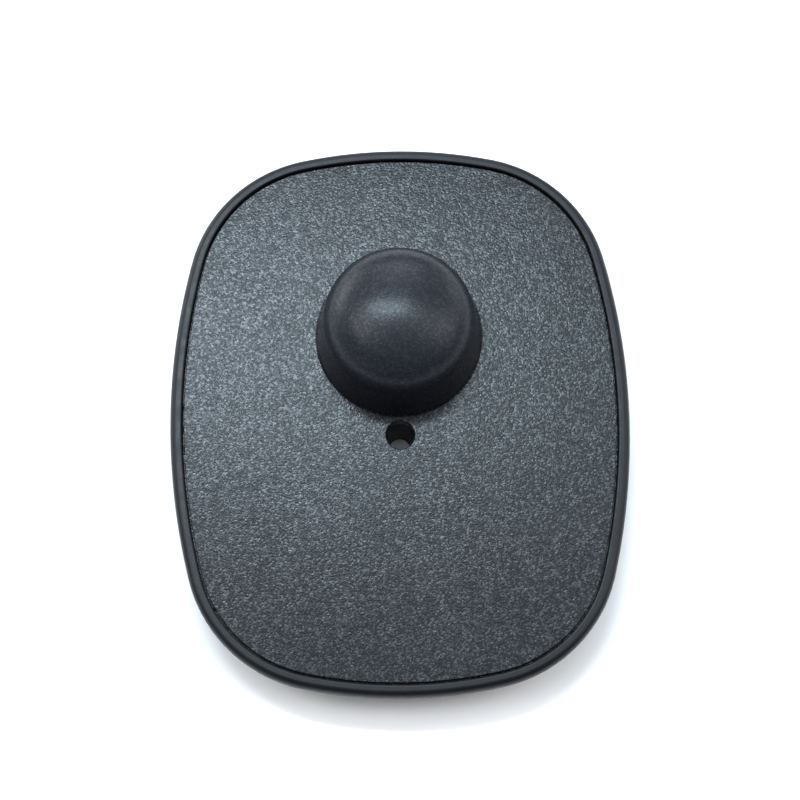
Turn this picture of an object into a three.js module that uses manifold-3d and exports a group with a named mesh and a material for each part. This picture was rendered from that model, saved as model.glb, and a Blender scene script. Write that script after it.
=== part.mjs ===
// A hard security tag for clothes: a pebble-shaped case with a ball clutch under its dome and a
// radio coil round its inside. The pin that goes through the garment is a separate object.
// Millimetres. The origin is the middle of the outline on the back face, +Z points out of the
// dome, +Y points to the end where the dome is, and +X is to the right seen from the front.

import * as THREE from 'three';
import { mergeVertices } from 'three/addons/utils/BufferGeometryUtils.js';
import Module from 'manifold-3d';

const wasm = await Module();
wasm.setup();

// Outline: two side arcs, two end arcs and four corner arcs, each tangent to the next
const WIDTH = 52;
const LENGTH = 63.9;
const SIDE_RADIUS = 76.7;
const END_RADIUS = 53.1;
const CORNER_RADIUS = 16.6;

// Case heights, from the back face
const FLOOR_TOP = 1.6;
const WIDEST_HEIGHT = 6.3;
const RIM_HEIGHT = 7.3;
const PLATE_TOP = 7.15;
const PLATE_THICKNESS = 1.5;

// Case edge, as distances in from the outline
const BACK_INSET = 5;
const RIM_CROWN_INSET = 0.75;
const RIM_INNER_INSET = 1.37;
const RIM_CHAMFER = 0.1;
const SEAM_WIDTH = 0.35;
const SEAM_DEPTH = 0.5;
const LEDGE_INSET = 2.6;
const FLOOR_INSET = 4;
const CAVITY_FLARE = 1.2;

// Gaps between pieces that rest on or fit in each other
const FIT_GAP = 0.05;
const LOOSE_GAP = 0.1;

// Dome
const DOME_Y = 9.2;
const DOME_BASE_RADIUS = 9.4;
const DOME_DRAFT = THREE.MathUtils.degToRad(8.5);
const DOME_SHOULDER_RADIUS = 4.9;
const DOME_CROWN_RADIUS = 16;
const DOME_TOP = 18;
const DOME_WALL = 1.4;
const DOME_RIBS = 6;
const DOME_RIB_THICKNESS = 0.8;
const DOME_RIB_INNER = 5.85;
const DOME_RIB_FOOT = 8;
const DOME_TOE_INNER = 4.5;

// Lanyard hole beside the dome, tapering towards the back
const LANYARD_Y = -2.4;
const LANYARD_FRONT_RADIUS = 1.63;
const LANYARD_BACK_RADIUS = 1.2;
const LANYARD_BOSS_RADIUS = 2.6;

// Pin entry at the back, on the dome's axis
const RECESS_RADIUS = 7;
const RECESS_DEPTH = 0.4;
const PIN_BORE_RADIUS = 0.9;
const PIN_FUNNEL_RADIUS = 1.9;
const PIN_FUNNEL_DEPTH = 1;
const SOCKET_INNER = 4.2;
const SOCKET_OUTER = 5.4;
const SOCKET_TOP = 6.4;
const SOCKET_SEAT = 4.3;

// Ball clutch: a cone that narrows towards the pin's entry, three balls and their carrier
const BALL_RADIUS = 1.1;
const BALL_COUNT = 3;
const BALL_PITCH_RADIUS = 1.33;
const BALL_HEIGHT = 6.6;
const BALL_PLAY = 0.05;
const CONE_ANGLE = THREE.MathUtils.degToRad(18);
const CONE_FLOOR = 4.8;
const CONE_TOP = 8.4;
const BELL_THROAT_RADIUS = 1;
const BELL_FOOT_RADIUS = 4.1;
const BELL_FOOT_HEIGHT = 6.5;
const BELL_BORE_RADIUS = 4.3;
const BELL_RADIUS = 5;
const BELL_WAIST_HEIGHT = 7.6;
const BELL_FLANGE_RADIUS = 5.7;
const BELL_FLANGE_THICKNESS = 0.65;
const BELL_TOP = 13.2;
const CAP_THICKNESS = 0.6;
const CAP_SPIGOT_DEPTH = 0.35;
const CAP_HOLE_RADIUS = 0.9;
const CARRIER_NOSE_RADIUS = 1.95;
const CARRIER_NOSE_BOTTOM = 5.05;
const CARRIER_FLANGE_RADIUS = 3.95;
const CARRIER_FLANGE_BOTTOM = 8.8;
const CARRIER_FLANGE_TOP = 9.5;
const CARRIER_COLLAR_RADIUS = 1.9;
const CARRIER_COLLAR_TOP = 10.3;
const CARRIER_BORE_RADIUS = 0.75;
const CARRIER_WINDOW_RADIUS = 1.17;
const SPRING_WIRE_RADIUS = 0.17;
const SPRING_COIL_RADIUS = 2.6;
const SPRING_TURNS = 4.5;

// Radio coil, its capacitor and what holds them
const COIL_OUTER_INSET = 4.3;
const COIL_INNER_INSET = 6.7;
const COIL_BOTTOM = 1.7;
const COIL_TOP = 3.7;
const COIL_CHAMFER = 0.5;
const WIRE_RADIUS = 0.25;
const WIRE_HEIGHT = 2.7;
const TAIL_X = 1.6;
const TAIL_START_Y = -26;
const JOINT_Y = -20;
const JOINT_SPLIT = 0.2;
const JOINT_RADIUS = 0.62;
const JOINT_LENGTH = 2.2;
const CAPACITOR_Y = -14.6;
const CAPACITOR_RADIUS = 2.6;
const CAPACITOR_THICKNESS = 2;
const CAPACITOR_EDGE = 0.5;
const LEAD_ROOT_X = 1.25;
const LEAD_BEND = 1;
const GLUE_RADIUS = 2.6;
const GLUE_HEIGHT = 2.9;
const GLUE_NORMALS = [45, 135, 225, 315].map(THREE.MathUtils.degToRad);
const RIB_NORMALS = [6, 80, 100, 174, 186, 260, 280, 354].map(THREE.MathUtils.degToRad);
const RIB_INSET = 7.4;
const RIB_THICKNESS = 0.8;
const RIB_LENGTH = 3;
const RIB_TOP = 3.4;
const POST_X = 13;
const POST_Y = 17;
const POST_RADIUS = 1.3;

// How far a cut runs past the faces it opens
const CUT_MARGIN = 1;

// Facets
const BACK_STEPS = 7;
const RIM_STEPS = 3;
const SIDE_STEPS = 5;
const CORNER_STEPS = 9;
const END_STEPS = 4;
const DOME_SEGMENTS = 40;
const DOME_SHOULDER_STEPS = 6;
const DOME_CROWN_STEPS = 5;
const TURNED_SEGMENTS = 32;
const HOLE_SEGMENTS = 20;
const BALL_SEGMENTS = 16;
const DROP_SEGMENTS = 12;
const CAPACITOR_EDGE_STEPS = 3;
const WIRE_SIDES = 8;
const SPRING_STEPS = 60;
const LEAD_STEPS = 6;

const RIGHT_ANGLE = Math.PI / 2;
const PLATE_BOTTOM = PLATE_TOP - PLATE_THICKNESS;

// ---------------------------------------------------------------------------------------------
// The outline, followed by the direction of its outward normal
// ---------------------------------------------------------------------------------------------

const sideCentre = new THREE.Vector2(WIDTH / 2 - SIDE_RADIUS, 0);
const endCentre = new THREE.Vector2(0, LENGTH / 2 - END_RADIUS);

// A corner's centre is where circles about the side's and the end's centres cross
function findCornerCentre() {
  const fromSide = SIDE_RADIUS - CORNER_RADIUS;
  const fromEnd = END_RADIUS - CORNER_RADIUS;
  const between = endCentre.clone().sub(sideCentre);
  const apart = between.length();
  const along = (fromSide ** 2 - fromEnd ** 2 + apart ** 2) / (2 * apart);
  const across = Math.sqrt(fromSide ** 2 - along ** 2);
  const unit = between.normalize();
  const left = new THREE.Vector2(-unit.y, unit.x);
  return sideCentre.clone().addScaledVector(unit, along).addScaledVector(left, across);
}

const cornerCentre = findCornerCentre();
const cornerStart = cornerCentre.clone().sub(sideCentre).angle();
const cornerEnd = cornerCentre.clone().sub(endCentre).angle();

// Where the outline, moved inwards by an inset, has its outward normal at an angle
function outlinePoint(normal, inset = 0) {
  const folded = Math.atan2(Math.abs(Math.sin(normal)), Math.abs(Math.cos(normal)));
  let centre = cornerCentre;
  let radius = CORNER_RADIUS;
  if (folded < cornerStart) {
    centre = sideCentre;
    radius = SIDE_RADIUS;
  } else if (folded > cornerEnd) {
    centre = endCentre;
    radius = END_RADIUS;
  }
  const x = centre.x + (radius - inset) * Math.cos(folded);
  const y = centre.y + (radius - inset) * Math.sin(folded);
  return new THREE.Vector2(x * Math.sign(Math.cos(normal)), y * Math.sign(Math.sin(normal)));
}

// Normals for one quarter of the outline, finest round the corner
function quarterNormals() {
  const normals = [];
  for (let i = 0; i < SIDE_STEPS; i++) normals.push((cornerStart * i) / SIDE_STEPS);
  for (let i = 0; i < CORNER_STEPS; i++) {
    normals.push(THREE.MathUtils.lerp(cornerStart, cornerEnd, i / CORNER_STEPS));
  }
  for (let i = 0; i < END_STEPS; i++) {
    normals.push(THREE.MathUtils.lerp(cornerEnd, RIGHT_ANGLE, i / END_STEPS));
  }
  return normals;
}

function ringNormals() {
  const quarter = quarterNormals();
  const mirrored = quarter.slice(1).reverse().map((angle) => Math.PI - angle);
  const half = [...quarter, RIGHT_ANGLE, ...mirrored];
  return [...half, ...half.map((angle) => angle + Math.PI)];
}

const normals = ringNormals();

// ---------------------------------------------------------------------------------------------
// Solids
// ---------------------------------------------------------------------------------------------

// A closed geometry as a manifold solid, with its shared vertices merged
function solid(geometry) {
  const bare = geometry.clone();
  bare.deleteAttribute('normal');
  bare.deleteAttribute('uv');
  const merged = mergeVertices(bare, 1e-4);
  const corners = Array.from(merged.index.array);
  const kept = [];
  for (let i = 0; i < corners.length; i += 3) {
    const [a, b, c] = corners.slice(i, i + 3);
    if (a !== b && b !== c && c !== a) kept.push(a, b, c);
  }
  const vertProperties = merged.attributes.position.array;
  const triVerts = Uint32Array.from(kept);
  return new wasm.Manifold(new wasm.Mesh({ numProp: 3, vertProperties, triVerts }));
}

function geometryOf(manifold) {
  const mesh = manifold.getMesh();
  const geometry = new THREE.BufferGeometry();
  geometry.setAttribute('position', new THREE.BufferAttribute(mesh.vertProperties, 3));
  geometry.setIndex(new THREE.BufferAttribute(mesh.triVerts, 1));
  geometry.computeVertexNormals();
  return geometry;
}

// A turned solid about the Z axis: [radius, height] points, anticlockwise with the axis on the left
function turned(profile, segments = TURNED_SEGMENTS) {
  const points = profile.map(([radius, height]) => new THREE.Vector2(radius, height));
  const geometry = new THREE.LatheGeometry(points, segments);
  geometry.rotateX(RIGHT_ANGLE);
  return solid(geometry);
}

// A closed profile that doesn't reach the axis, turned into a ring
function turnedRing(profile, segments = TURNED_SEGMENTS) {
  return turned([...profile, profile[0]], segments);
}

// A lathe whose rings follow the outline: [inset, height] points, where a null inset is the centre
function pebble(profile) {
  const points = profile.map(([inset, height]) => {
    return new THREE.Vector2(inset === null ? 0 : WIDTH - inset, height);
  });
  const geometry = new THREE.LatheGeometry(points, normals.length);
  const position = geometry.attributes.position;
  for (let i = 0; i < position.count; i++) {
    const [inset, height] = profile[i % profile.length];
    const column = Math.floor(i / profile.length) % normals.length;
    const spot = inset === null ? new THREE.Vector2() : outlinePoint(normals[column], inset);
    position.setXYZ(i, spot.x, spot.y, height);
  }
  return solid(geometry);
}

function cylinder(radius, bottom, top, x = 0, y = 0, topRadius = radius) {
  const geometry = new THREE.CylinderGeometry(topRadius, radius, top - bottom, HOLE_SEGMENTS);
  geometry.rotateX(RIGHT_ANGLE);
  geometry.translate(x, y, (top + bottom) / 2);
  return solid(geometry);
}

// A round wire along a curve
function wire(curve, steps, radius) {
  const section = new THREE.Shape().absarc(0, 0, radius, 0, 2 * Math.PI, false);
  const options = { steps, extrudePath: curve, curveSegments: WIRE_SIDES / 2, bevelEnabled: false };
  return solid(new THREE.ExtrudeGeometry(section, options));
}

function arc(centreRadius, centreHeight, radius, from, to, steps) {
  return Array.from({ length: steps + 1 }, (_, i) => {
    const angle = THREE.MathUtils.lerp(from, to, i / steps);
    return [centreRadius + radius * Math.cos(angle), centreHeight + radius * Math.sin(angle)];
  });
}

// ---------------------------------------------------------------------------------------------
// Case
// ---------------------------------------------------------------------------------------------

// The dome's outer line from its base to its top, moved inwards by a wall. The skirt leans in by
// its draft, the shoulder arc is tangent to it, and the crown arc is tangent to the shoulder.
function domeLine(wall, bottom) {
  const [cos, sin] = [Math.cos(DOME_DRAFT), Math.sin(DOME_DRAFT)];
  const crownCentre = DOME_TOP - DOME_CROWN_RADIUS;
  const reach = DOME_CROWN_RADIUS - DOME_SHOULDER_RADIUS;
  const startRadius = DOME_BASE_RADIUS - DOME_SHOULDER_RADIUS * cos;
  const startHeight = PLATE_TOP - DOME_SHOULDER_RADIUS * sin - crownCentre;
  const half = startHeight * cos - startRadius * sin;
  const rise = Math.sqrt(half ** 2 - startRadius ** 2 - startHeight ** 2 + reach ** 2) - half;
  const centreRadius = startRadius - rise * sin;
  const centreHeight = PLATE_TOP - DOME_SHOULDER_RADIUS * sin + rise * cos;
  const crownStart = Math.atan2(centreHeight - crownCentre, centreRadius);
  const shoulder = DOME_SHOULDER_RADIUS - wall;
  const skirtTop = centreRadius + shoulder * cos;
  const skirtHeight = centreHeight + shoulder * sin;
  const baseRadius = skirtTop + (skirtHeight - bottom) * Math.tan(DOME_DRAFT);
  const crown = arc(0, crownCentre, DOME_CROWN_RADIUS - wall, crownStart, RIGHT_ANGLE, DOME_CROWN_STEPS);
  crown[crown.length - 1][0] = 0;
  return [
    [0, bottom],
    [baseRadius, bottom],
    ...arc(centreRadius, centreHeight, shoulder, DOME_DRAFT, crownStart, DOME_SHOULDER_STEPS),
    ...crown.slice(1),
  ];
}

function atDome(manifold) {
  return manifold.translate([0, DOME_Y, 0]);
}

// The space inside the rear case, drawn in by a gap
function cavityProfile(gap) {
  return [
    [LEDGE_INSET + gap, PLATE_BOTTOM - FIT_GAP],
    [LEDGE_INSET + gap, FLOOR_TOP + CAVITY_FLARE],
    [FLOOR_INSET + gap, FLOOR_TOP + gap],
    [null, FLOOR_TOP + gap],
  ];
}

function rearTray() {
  const side = arc(0, 0, 1, -RIGHT_ANGLE, 0, BACK_STEPS).map(([across, up]) => {
    return [BACK_INSET * (1 - across), WIDEST_HEIGHT * (1 + up)];
  });
  const rim = arc(0, 0, 1, 0, RIGHT_ANGLE, RIM_STEPS).map(([across, up]) => {
    return [RIM_CROWN_INSET * (1 - across), WIDEST_HEIGHT + (RIM_HEIGHT - WIDEST_HEIGHT) * up];
  });
  return pebble([
    [null, 0],
    ...side,
    ...rim.slice(1),
    [RIM_INNER_INSET - RIM_CHAMFER, RIM_HEIGHT],
    [RIM_INNER_INSET, RIM_HEIGHT - RIM_CHAMFER],
    [RIM_INNER_INSET, PLATE_BOTTOM - FIT_GAP],
    ...cavityProfile(0),
  ]);
}

// The low ribs that keep the coil in place, standing inside it
function coilRibs() {
  return RIB_NORMALS.map((normal) => {
    const spot = outlinePoint(normal, RIB_INSET);
    const height = RIB_TOP - FLOOR_TOP + LOOSE_GAP;
    const rib = new THREE.BoxGeometry(RIB_THICKNESS, RIB_LENGTH, height);
    rib.rotateZ(normal);
    rib.translate(spot.x, spot.y, RIB_TOP - height / 2);
    return solid(rib);
  });
}

function lidPosts() {
  const corners = [[1, 1], [-1, 1], [-1, -1], [1, -1]];
  return corners.map(([sideX, sideY]) => {
    const top = PLATE_BOTTOM - FIT_GAP;
    return cylinder(POST_RADIUS, FLOOR_TOP - LOOSE_GAP, top, sideX * POST_X, sideY * POST_Y);
  });
}

function rearCase() {
  const socket = turned([
    [0, FLOOR_TOP - LOOSE_GAP],
    [SOCKET_OUTER, FLOOR_TOP - LOOSE_GAP],
    [SOCKET_OUTER, SOCKET_TOP],
    [SOCKET_INNER, SOCKET_TOP],
    [SOCKET_INNER, SOCKET_SEAT],
    [0, SOCKET_SEAT],
  ]);
  const funnelTop = RECESS_DEPTH + PIN_FUNNEL_DEPTH;
  const pinWay = turned([
    [0, -CUT_MARGIN],
    [RECESS_RADIUS, -CUT_MARGIN],
    [RECESS_RADIUS, RECESS_DEPTH],
    [PIN_FUNNEL_RADIUS, RECESS_DEPTH],
    [PIN_BORE_RADIUS, funnelTop],
    [PIN_BORE_RADIUS, SOCKET_SEAT + CUT_MARGIN],
    [0, SOCKET_SEAT + CUT_MARGIN],
  ]);
  const bossTop = PLATE_BOTTOM - FIT_GAP;
  const lanyardBoss = cylinder(LANYARD_BOSS_RADIUS, FLOOR_TOP - LOOSE_GAP, bossTop, 0, LANYARD_Y);
  const taper = (LANYARD_FRONT_RADIUS - LANYARD_BACK_RADIUS) / bossTop;
  const lanyardWay = cylinder(
    LANYARD_BACK_RADIUS - taper * CUT_MARGIN,
    -CUT_MARGIN,
    bossTop + CUT_MARGIN,
    0,
    LANYARD_Y,
    LANYARD_FRONT_RADIUS + taper * CUT_MARGIN,
  );
  let shell = rearTray().add(atDome(socket)).add(lanyardBoss);
  for (const standing of [...coilRibs(), ...lidPosts()]) shell = shell.add(standing);
  return shell.subtract(atDome(pinWay)).subtract(lanyardWay);
}

// Ribs in the dome: a shank beside the clutch and a toe that holds its cap down
function domeRibs() {
  const ribs = [];
  const capTop = BELL_TOP + FIT_GAP + CAP_THICKNESS;
  const toeBottom = capTop + LOOSE_GAP;
  for (let i = 0; i < DOME_RIBS; i++) {
    const angle = (2 * Math.PI * i) / DOME_RIBS;
    const shankWidth = DOME_BASE_RADIUS - DOME_RIB_INNER;
    const shank = new THREE.BoxGeometry(shankWidth, DOME_RIB_THICKNESS, DOME_TOP - DOME_RIB_FOOT);
    shank.translate(DOME_RIB_INNER + shankWidth / 2, 0, (DOME_TOP + DOME_RIB_FOOT) / 2);
    const toeWidth = DOME_BASE_RADIUS - DOME_TOE_INNER;
    const toe = new THREE.BoxGeometry(toeWidth, DOME_RIB_THICKNESS, DOME_TOP - toeBottom);
    toe.translate(DOME_TOE_INNER + toeWidth / 2, 0, (DOME_TOP + toeBottom) / 2);
    for (const plate of [shank, toe]) {
      plate.rotateZ(angle);
      ribs.push(solid(plate));
    }
  }
  return wasm.Manifold.union(ribs);
}

function frontCover() {
  const lipInset = RIM_INNER_INSET + FIT_GAP;
  const edgeInset = RIM_INNER_INSET + SEAM_WIDTH;
  const plate = pebble([
    [null, PLATE_BOTTOM],
    [lipInset, PLATE_BOTTOM],
    [lipInset, PLATE_TOP - SEAM_DEPTH],
    [edgeInset, PLATE_TOP - SEAM_DEPTH],
    [edgeInset, PLATE_TOP - RIM_CHAMFER],
    [edgeInset + RIM_CHAMFER, PLATE_TOP],
    [null, PLATE_TOP],
  ]);
  const outer = turned(domeLine(0, PLATE_BOTTOM), DOME_SEGMENTS);
  const inner = turned(domeLine(DOME_WALL, PLATE_BOTTOM - CUT_MARGIN), DOME_SEGMENTS);
  const ribRoom = turned(domeLine(DOME_WALL / 2, PLATE_BOTTOM), DOME_SEGMENTS);
  const lanyardHole = cylinder(
    LANYARD_FRONT_RADIUS,
    PLATE_BOTTOM - CUT_MARGIN,
    PLATE_TOP + CUT_MARGIN,
    0,
    LANYARD_Y,
  );
  return plate
    .add(atDome(outer))
    .subtract(atDome(inner))
    .add(atDome(domeRibs().intersect(ribRoom)))
    .subtract(lanyardHole);
}

// ---------------------------------------------------------------------------------------------
// Ball clutch
// ---------------------------------------------------------------------------------------------

// The cone's radius at a height, so that a resting ball keeps its play to the wall
function coneRadius(height) {
  const atBall = BALL_PITCH_RADIUS + (BALL_RADIUS + BALL_PLAY) / Math.cos(CONE_ANGLE);
  return atBall + (height - BALL_HEIGHT) * Math.tan(CONE_ANGLE);
}

function clutchBell() {
  return turnedRing([
    [BELL_THROAT_RADIUS, SOCKET_SEAT + FIT_GAP],
    [BELL_FOOT_RADIUS, SOCKET_SEAT + FIT_GAP],
    [BELL_FOOT_RADIUS, BELL_FOOT_HEIGHT],
    [BELL_RADIUS, BELL_WAIST_HEIGHT],
    [BELL_RADIUS, BELL_TOP - BELL_FLANGE_THICKNESS],
    [BELL_FLANGE_RADIUS, BELL_TOP - BELL_FLANGE_THICKNESS],
    [BELL_FLANGE_RADIUS, BELL_TOP],
    [BELL_BORE_RADIUS, BELL_TOP],
    [BELL_BORE_RADIUS, CONE_TOP],
    [coneRadius(CONE_TOP), CONE_TOP],
    [coneRadius(CONE_FLOOR), CONE_FLOOR],
    [BELL_THROAT_RADIUS, CONE_FLOOR],
  ]);
}

function clutchCap() {
  const bottom = BELL_TOP + FIT_GAP;
  const spigotRadius = BELL_BORE_RADIUS - LOOSE_GAP;
  return turnedRing([
    [CAP_HOLE_RADIUS, bottom - CAP_SPIGOT_DEPTH],
    [spigotRadius, bottom - CAP_SPIGOT_DEPTH],
    [spigotRadius, bottom],
    [BELL_FLANGE_RADIUS, bottom],
    [BELL_FLANGE_RADIUS, bottom + CAP_THICKNESS],
    [CAP_HOLE_RADIUS, bottom + CAP_THICKNESS],
  ]);
}

function ballCarrier() {
  let carrier = turnedRing([
    [CARRIER_BORE_RADIUS, CARRIER_NOSE_BOTTOM],
    [CARRIER_NOSE_RADIUS, CARRIER_NOSE_BOTTOM],
    [CARRIER_NOSE_RADIUS, CARRIER_FLANGE_BOTTOM],
    [CARRIER_FLANGE_RADIUS, CARRIER_FLANGE_BOTTOM],
    [CARRIER_FLANGE_RADIUS, CARRIER_FLANGE_TOP],
    [CARRIER_COLLAR_RADIUS, CARRIER_FLANGE_TOP],
    [CARRIER_COLLAR_RADIUS, CARRIER_COLLAR_TOP],
    [CARRIER_BORE_RADIUS, CARRIER_COLLAR_TOP],
  ]);
  const depth = 2 * CARRIER_NOSE_RADIUS;
  for (let i = 0; i < BALL_COUNT; i++) {
    const window = new THREE.CylinderGeometry(
      CARRIER_WINDOW_RADIUS,
      CARRIER_WINDOW_RADIUS,
      depth,
      HOLE_SEGMENTS,
    );
    window.rotateZ(RIGHT_ANGLE);
    window.translate(depth / 2, 0, BALL_HEIGHT);
    window.rotateZ(ballAngle(i));
    carrier = carrier.subtract(solid(window));
  }
  return carrier;
}

function ballAngle(index) {
  return RIGHT_ANGLE + (2 * Math.PI * index) / BALL_COUNT;
}

class Helix extends THREE.Curve {
  constructor(radius, bottom, top, turns) {
    super();
    this.radius = radius;
    this.bottom = bottom;
    this.top = top;
    this.turns = turns;
  }

  getPoint(t, target = new THREE.Vector3()) {
    const angle = 2 * Math.PI * this.turns * t;
    const height = THREE.MathUtils.lerp(this.bottom, this.top, t);
    return target.set(this.radius * Math.cos(angle), this.radius * Math.sin(angle), height);
  }
}

function clutchSpring() {
  const bottom = CARRIER_FLANGE_TOP + SPRING_WIRE_RADIUS + FIT_GAP;
  const top = BELL_TOP - CAP_SPIGOT_DEPTH - SPRING_WIRE_RADIUS;
  const helix = new Helix(SPRING_COIL_RADIUS, bottom, top, SPRING_TURNS);
  return wire(helix, SPRING_STEPS, SPRING_WIRE_RADIUS);
}

// ---------------------------------------------------------------------------------------------
// Radio circuit
// ---------------------------------------------------------------------------------------------

// The coil's bundle of turns as a ring, larger on every side by a margin
function coilBundle(margin) {
  const [outer, inner] = [COIL_OUTER_INSET - margin, COIL_INNER_INSET + margin];
  const [bottom, top] = [COIL_BOTTOM - margin, COIL_TOP + margin];
  const profile = [
    [inner - COIL_CHAMFER, bottom],
    [outer + COIL_CHAMFER, bottom],
    [outer, bottom + COIL_CHAMFER],
    [outer, top - COIL_CHAMFER],
    [outer + COIL_CHAMFER, top],
    [inner - COIL_CHAMFER, top],
    [inner, top - COIL_CHAMFER],
    [inner, bottom + COIL_CHAMFER],
  ];
  return pebble([...profile, profile[0]]);
}

function straightWire(from, to, radius) {
  return wire(new THREE.LineCurve3(from, to), 1, radius);
}

function tailWire(side, radius) {
  const start = new THREE.Vector3(side * TAIL_X, TAIL_START_Y, WIRE_HEIGHT);
  const end = new THREE.Vector3(side * TAIL_X, JOINT_Y - JOINT_SPLIT, WIRE_HEIGHT);
  return straightWire(start, end, radius);
}

function antennaCoil() {
  return coilBundle(0).add(tailWire(-1, WIRE_RADIUS)).add(tailWire(1, WIRE_RADIUS));
}

// The capacitor's round disc lying on the floor, larger on every side by a margin
function capacitorDisc(margin) {
  const bottom = FLOOR_TOP + FIT_GAP - margin;
  const top = bottom + CAPACITOR_THICKNESS + 2 * margin;
  const flat = CAPACITOR_RADIUS - CAPACITOR_EDGE + margin;
  const disc = turned([
    [0, bottom],
    ...arc(flat, bottom + CAPACITOR_EDGE, CAPACITOR_EDGE, -RIGHT_ANGLE, 0, CAPACITOR_EDGE_STEPS),
    ...arc(flat, top - CAPACITOR_EDGE, CAPACITOR_EDGE, 0, RIGHT_ANGLE, CAPACITOR_EDGE_STEPS),
    [0, top],
  ]);
  return disc.translate([0, CAPACITOR_Y, 0]);
}

function capacitorLead(side, radius) {
  const root = CAPACITOR_Y - Math.sqrt(CAPACITOR_RADIUS ** 2 - LEAD_ROOT_X ** 2) - 2 * LOOSE_GAP;
  const end = JOINT_Y + JOINT_SPLIT;
  const curve = new THREE.CubicBezierCurve3(
    new THREE.Vector3(side * LEAD_ROOT_X, root, WIRE_HEIGHT),
    new THREE.Vector3(side * LEAD_ROOT_X, root - LEAD_BEND, WIRE_HEIGHT),
    new THREE.Vector3(side * TAIL_X, end + LEAD_BEND, WIRE_HEIGHT),
    new THREE.Vector3(side * TAIL_X, end, WIRE_HEIGHT),
  );
  return wire(curve, LEAD_STEPS, radius);
}

function solderJoint(side) {
  const blob = new THREE.SphereGeometry(1, DROP_SEGMENTS, DROP_SEGMENTS / 2);
  blob.scale(JOINT_RADIUS, JOINT_LENGTH / 2, JOINT_RADIUS);
  blob.translate(side * TAIL_X, JOINT_Y, WIRE_HEIGHT);
  const roomy = WIRE_RADIUS + FIT_GAP;
  return solid(blob).subtract(tailWire(side, roomy)).subtract(capacitorLead(side, roomy));
}

// A drop of hot-melt glue that set on the floor, over what it holds
function glueDab(x, y, held) {
  const drop = new THREE.SphereGeometry(1, DROP_SEGMENTS, DROP_SEGMENTS);
  drop.scale(GLUE_RADIUS, GLUE_RADIUS, GLUE_HEIGHT);
  drop.translate(x, y, FLOOR_TOP);
  const room = pebble([[null, PLATE_BOTTOM - FIT_GAP], ...cavityProfile(FIT_GAP)].reverse());
  return solid(drop).intersect(room).subtract(held);
}

function glueDabs() {
  const coil = coilBundle(FIT_GAP);
  const onCoil = GLUE_NORMALS.map((normal) => {
    const spot = outlinePoint(normal, (COIL_OUTER_INSET + COIL_INNER_INSET) / 2);
    return glueDab(spot.x, spot.y, coil);
  });
  const onCapacitor = glueDab(0, CAPACITOR_Y + CAPACITOR_RADIUS, capacitorDisc(FIT_GAP));
  return [...onCoil, onCapacitor];
}

// ---------------------------------------------------------------------------------------------
// Finishes and assembly
// ---------------------------------------------------------------------------------------------

const finishes = {
  casePlastic: { color: 0x2c2f34, roughness: 0.5, metalness: 0 },
  coverPlastic: { color: 0x3a3f45, roughness: 0.62, metalness: 0 },
  platedSteel: { color: 0xa3a5a6, roughness: 0.38, metalness: 1 },
  hardSteel: { color: 0xd0d2d4, roughness: 0.12, metalness: 1 },
  springSteel: { color: 0x8d8f92, roughness: 0.3, metalness: 1 },
  enamelledCopper: { color: 0xa4552b, roughness: 0.3, metalness: 0.8 },
  capacitorCoat: { color: 0xb4702a, roughness: 0.4, metalness: 0 },
  tin: { color: 0xc4c6c8, roughness: 0.28, metalness: 1 },
  hotMelt: { color: 0xe3d9bf, roughness: 0.35, metalness: 0 },
};

const tag = new THREE.Group();

function addPiece(name, manifold, finish) {
  const mesh = new THREE.Mesh(geometryOf(manifold), new THREE.MeshStandardMaterial(finish));
  mesh.name = name;
  tag.add(mesh);
  return mesh;
}

addPiece('rear_case', rearCase(), finishes.casePlastic);
addPiece('front_cover', frontCover(), finishes.coverPlastic);

addPiece('clutch_bell', atDome(clutchBell()), finishes.platedSteel);
addPiece('clutch_cap', atDome(clutchCap()), finishes.platedSteel);
addPiece('ball_carrier', atDome(ballCarrier()), finishes.platedSteel);
addPiece('clutch_spring', atDome(clutchSpring()), finishes.springSteel);
for (let i = 0; i < BALL_COUNT; i++) {
  const ball = addPiece(
    `steel_ball_${i + 1}`,
    solid(new THREE.SphereGeometry(BALL_RADIUS, BALL_SEGMENTS, BALL_SEGMENTS / 2)),
    finishes.hardSteel,
  );
  const angle = ballAngle(i);
  ball.position.set(
    BALL_PITCH_RADIUS * Math.cos(angle),
    DOME_Y + BALL_PITCH_RADIUS * Math.sin(angle),
    BALL_HEIGHT,
  );
}

addPiece('antenna_coil', antennaCoil(), finishes.enamelledCopper);
addPiece('tuning_capacitor', capacitorDisc(0), finishes.capacitorCoat);
for (const [name, side] of [['left', -1], ['right', 1]]) {
  addPiece(`capacitor_lead_${name}`, capacitorLead(side, WIRE_RADIUS), finishes.tin);
  addPiece(`solder_joint_${name}`, solderJoint(side), finishes.tin);
}
glueDabs().forEach((dab, index) => {
  addPiece(`glue_dab_${index + 1}`, dab, finishes.hotMelt);
});

export default tag;
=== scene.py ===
"""The looks of a hard security tag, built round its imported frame.

The tag is a pebble-shaped case with a grained cover, a smooth dome over a ball clutch, a lanyard
hole, and a wound radio coil inside. Lengths are in metres. The origin is the middle of the outline
on the back face, +Z points out of the dome and +Y to the end where the dome is.
"""

import logging
import math
from abc import ABC, abstractmethod
from dataclasses import dataclass, field
from enum import Enum
from typing import Any, Callable, Sequence

import bmesh
import bpy
from mathutils import Matrix, Vector, noise


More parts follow.
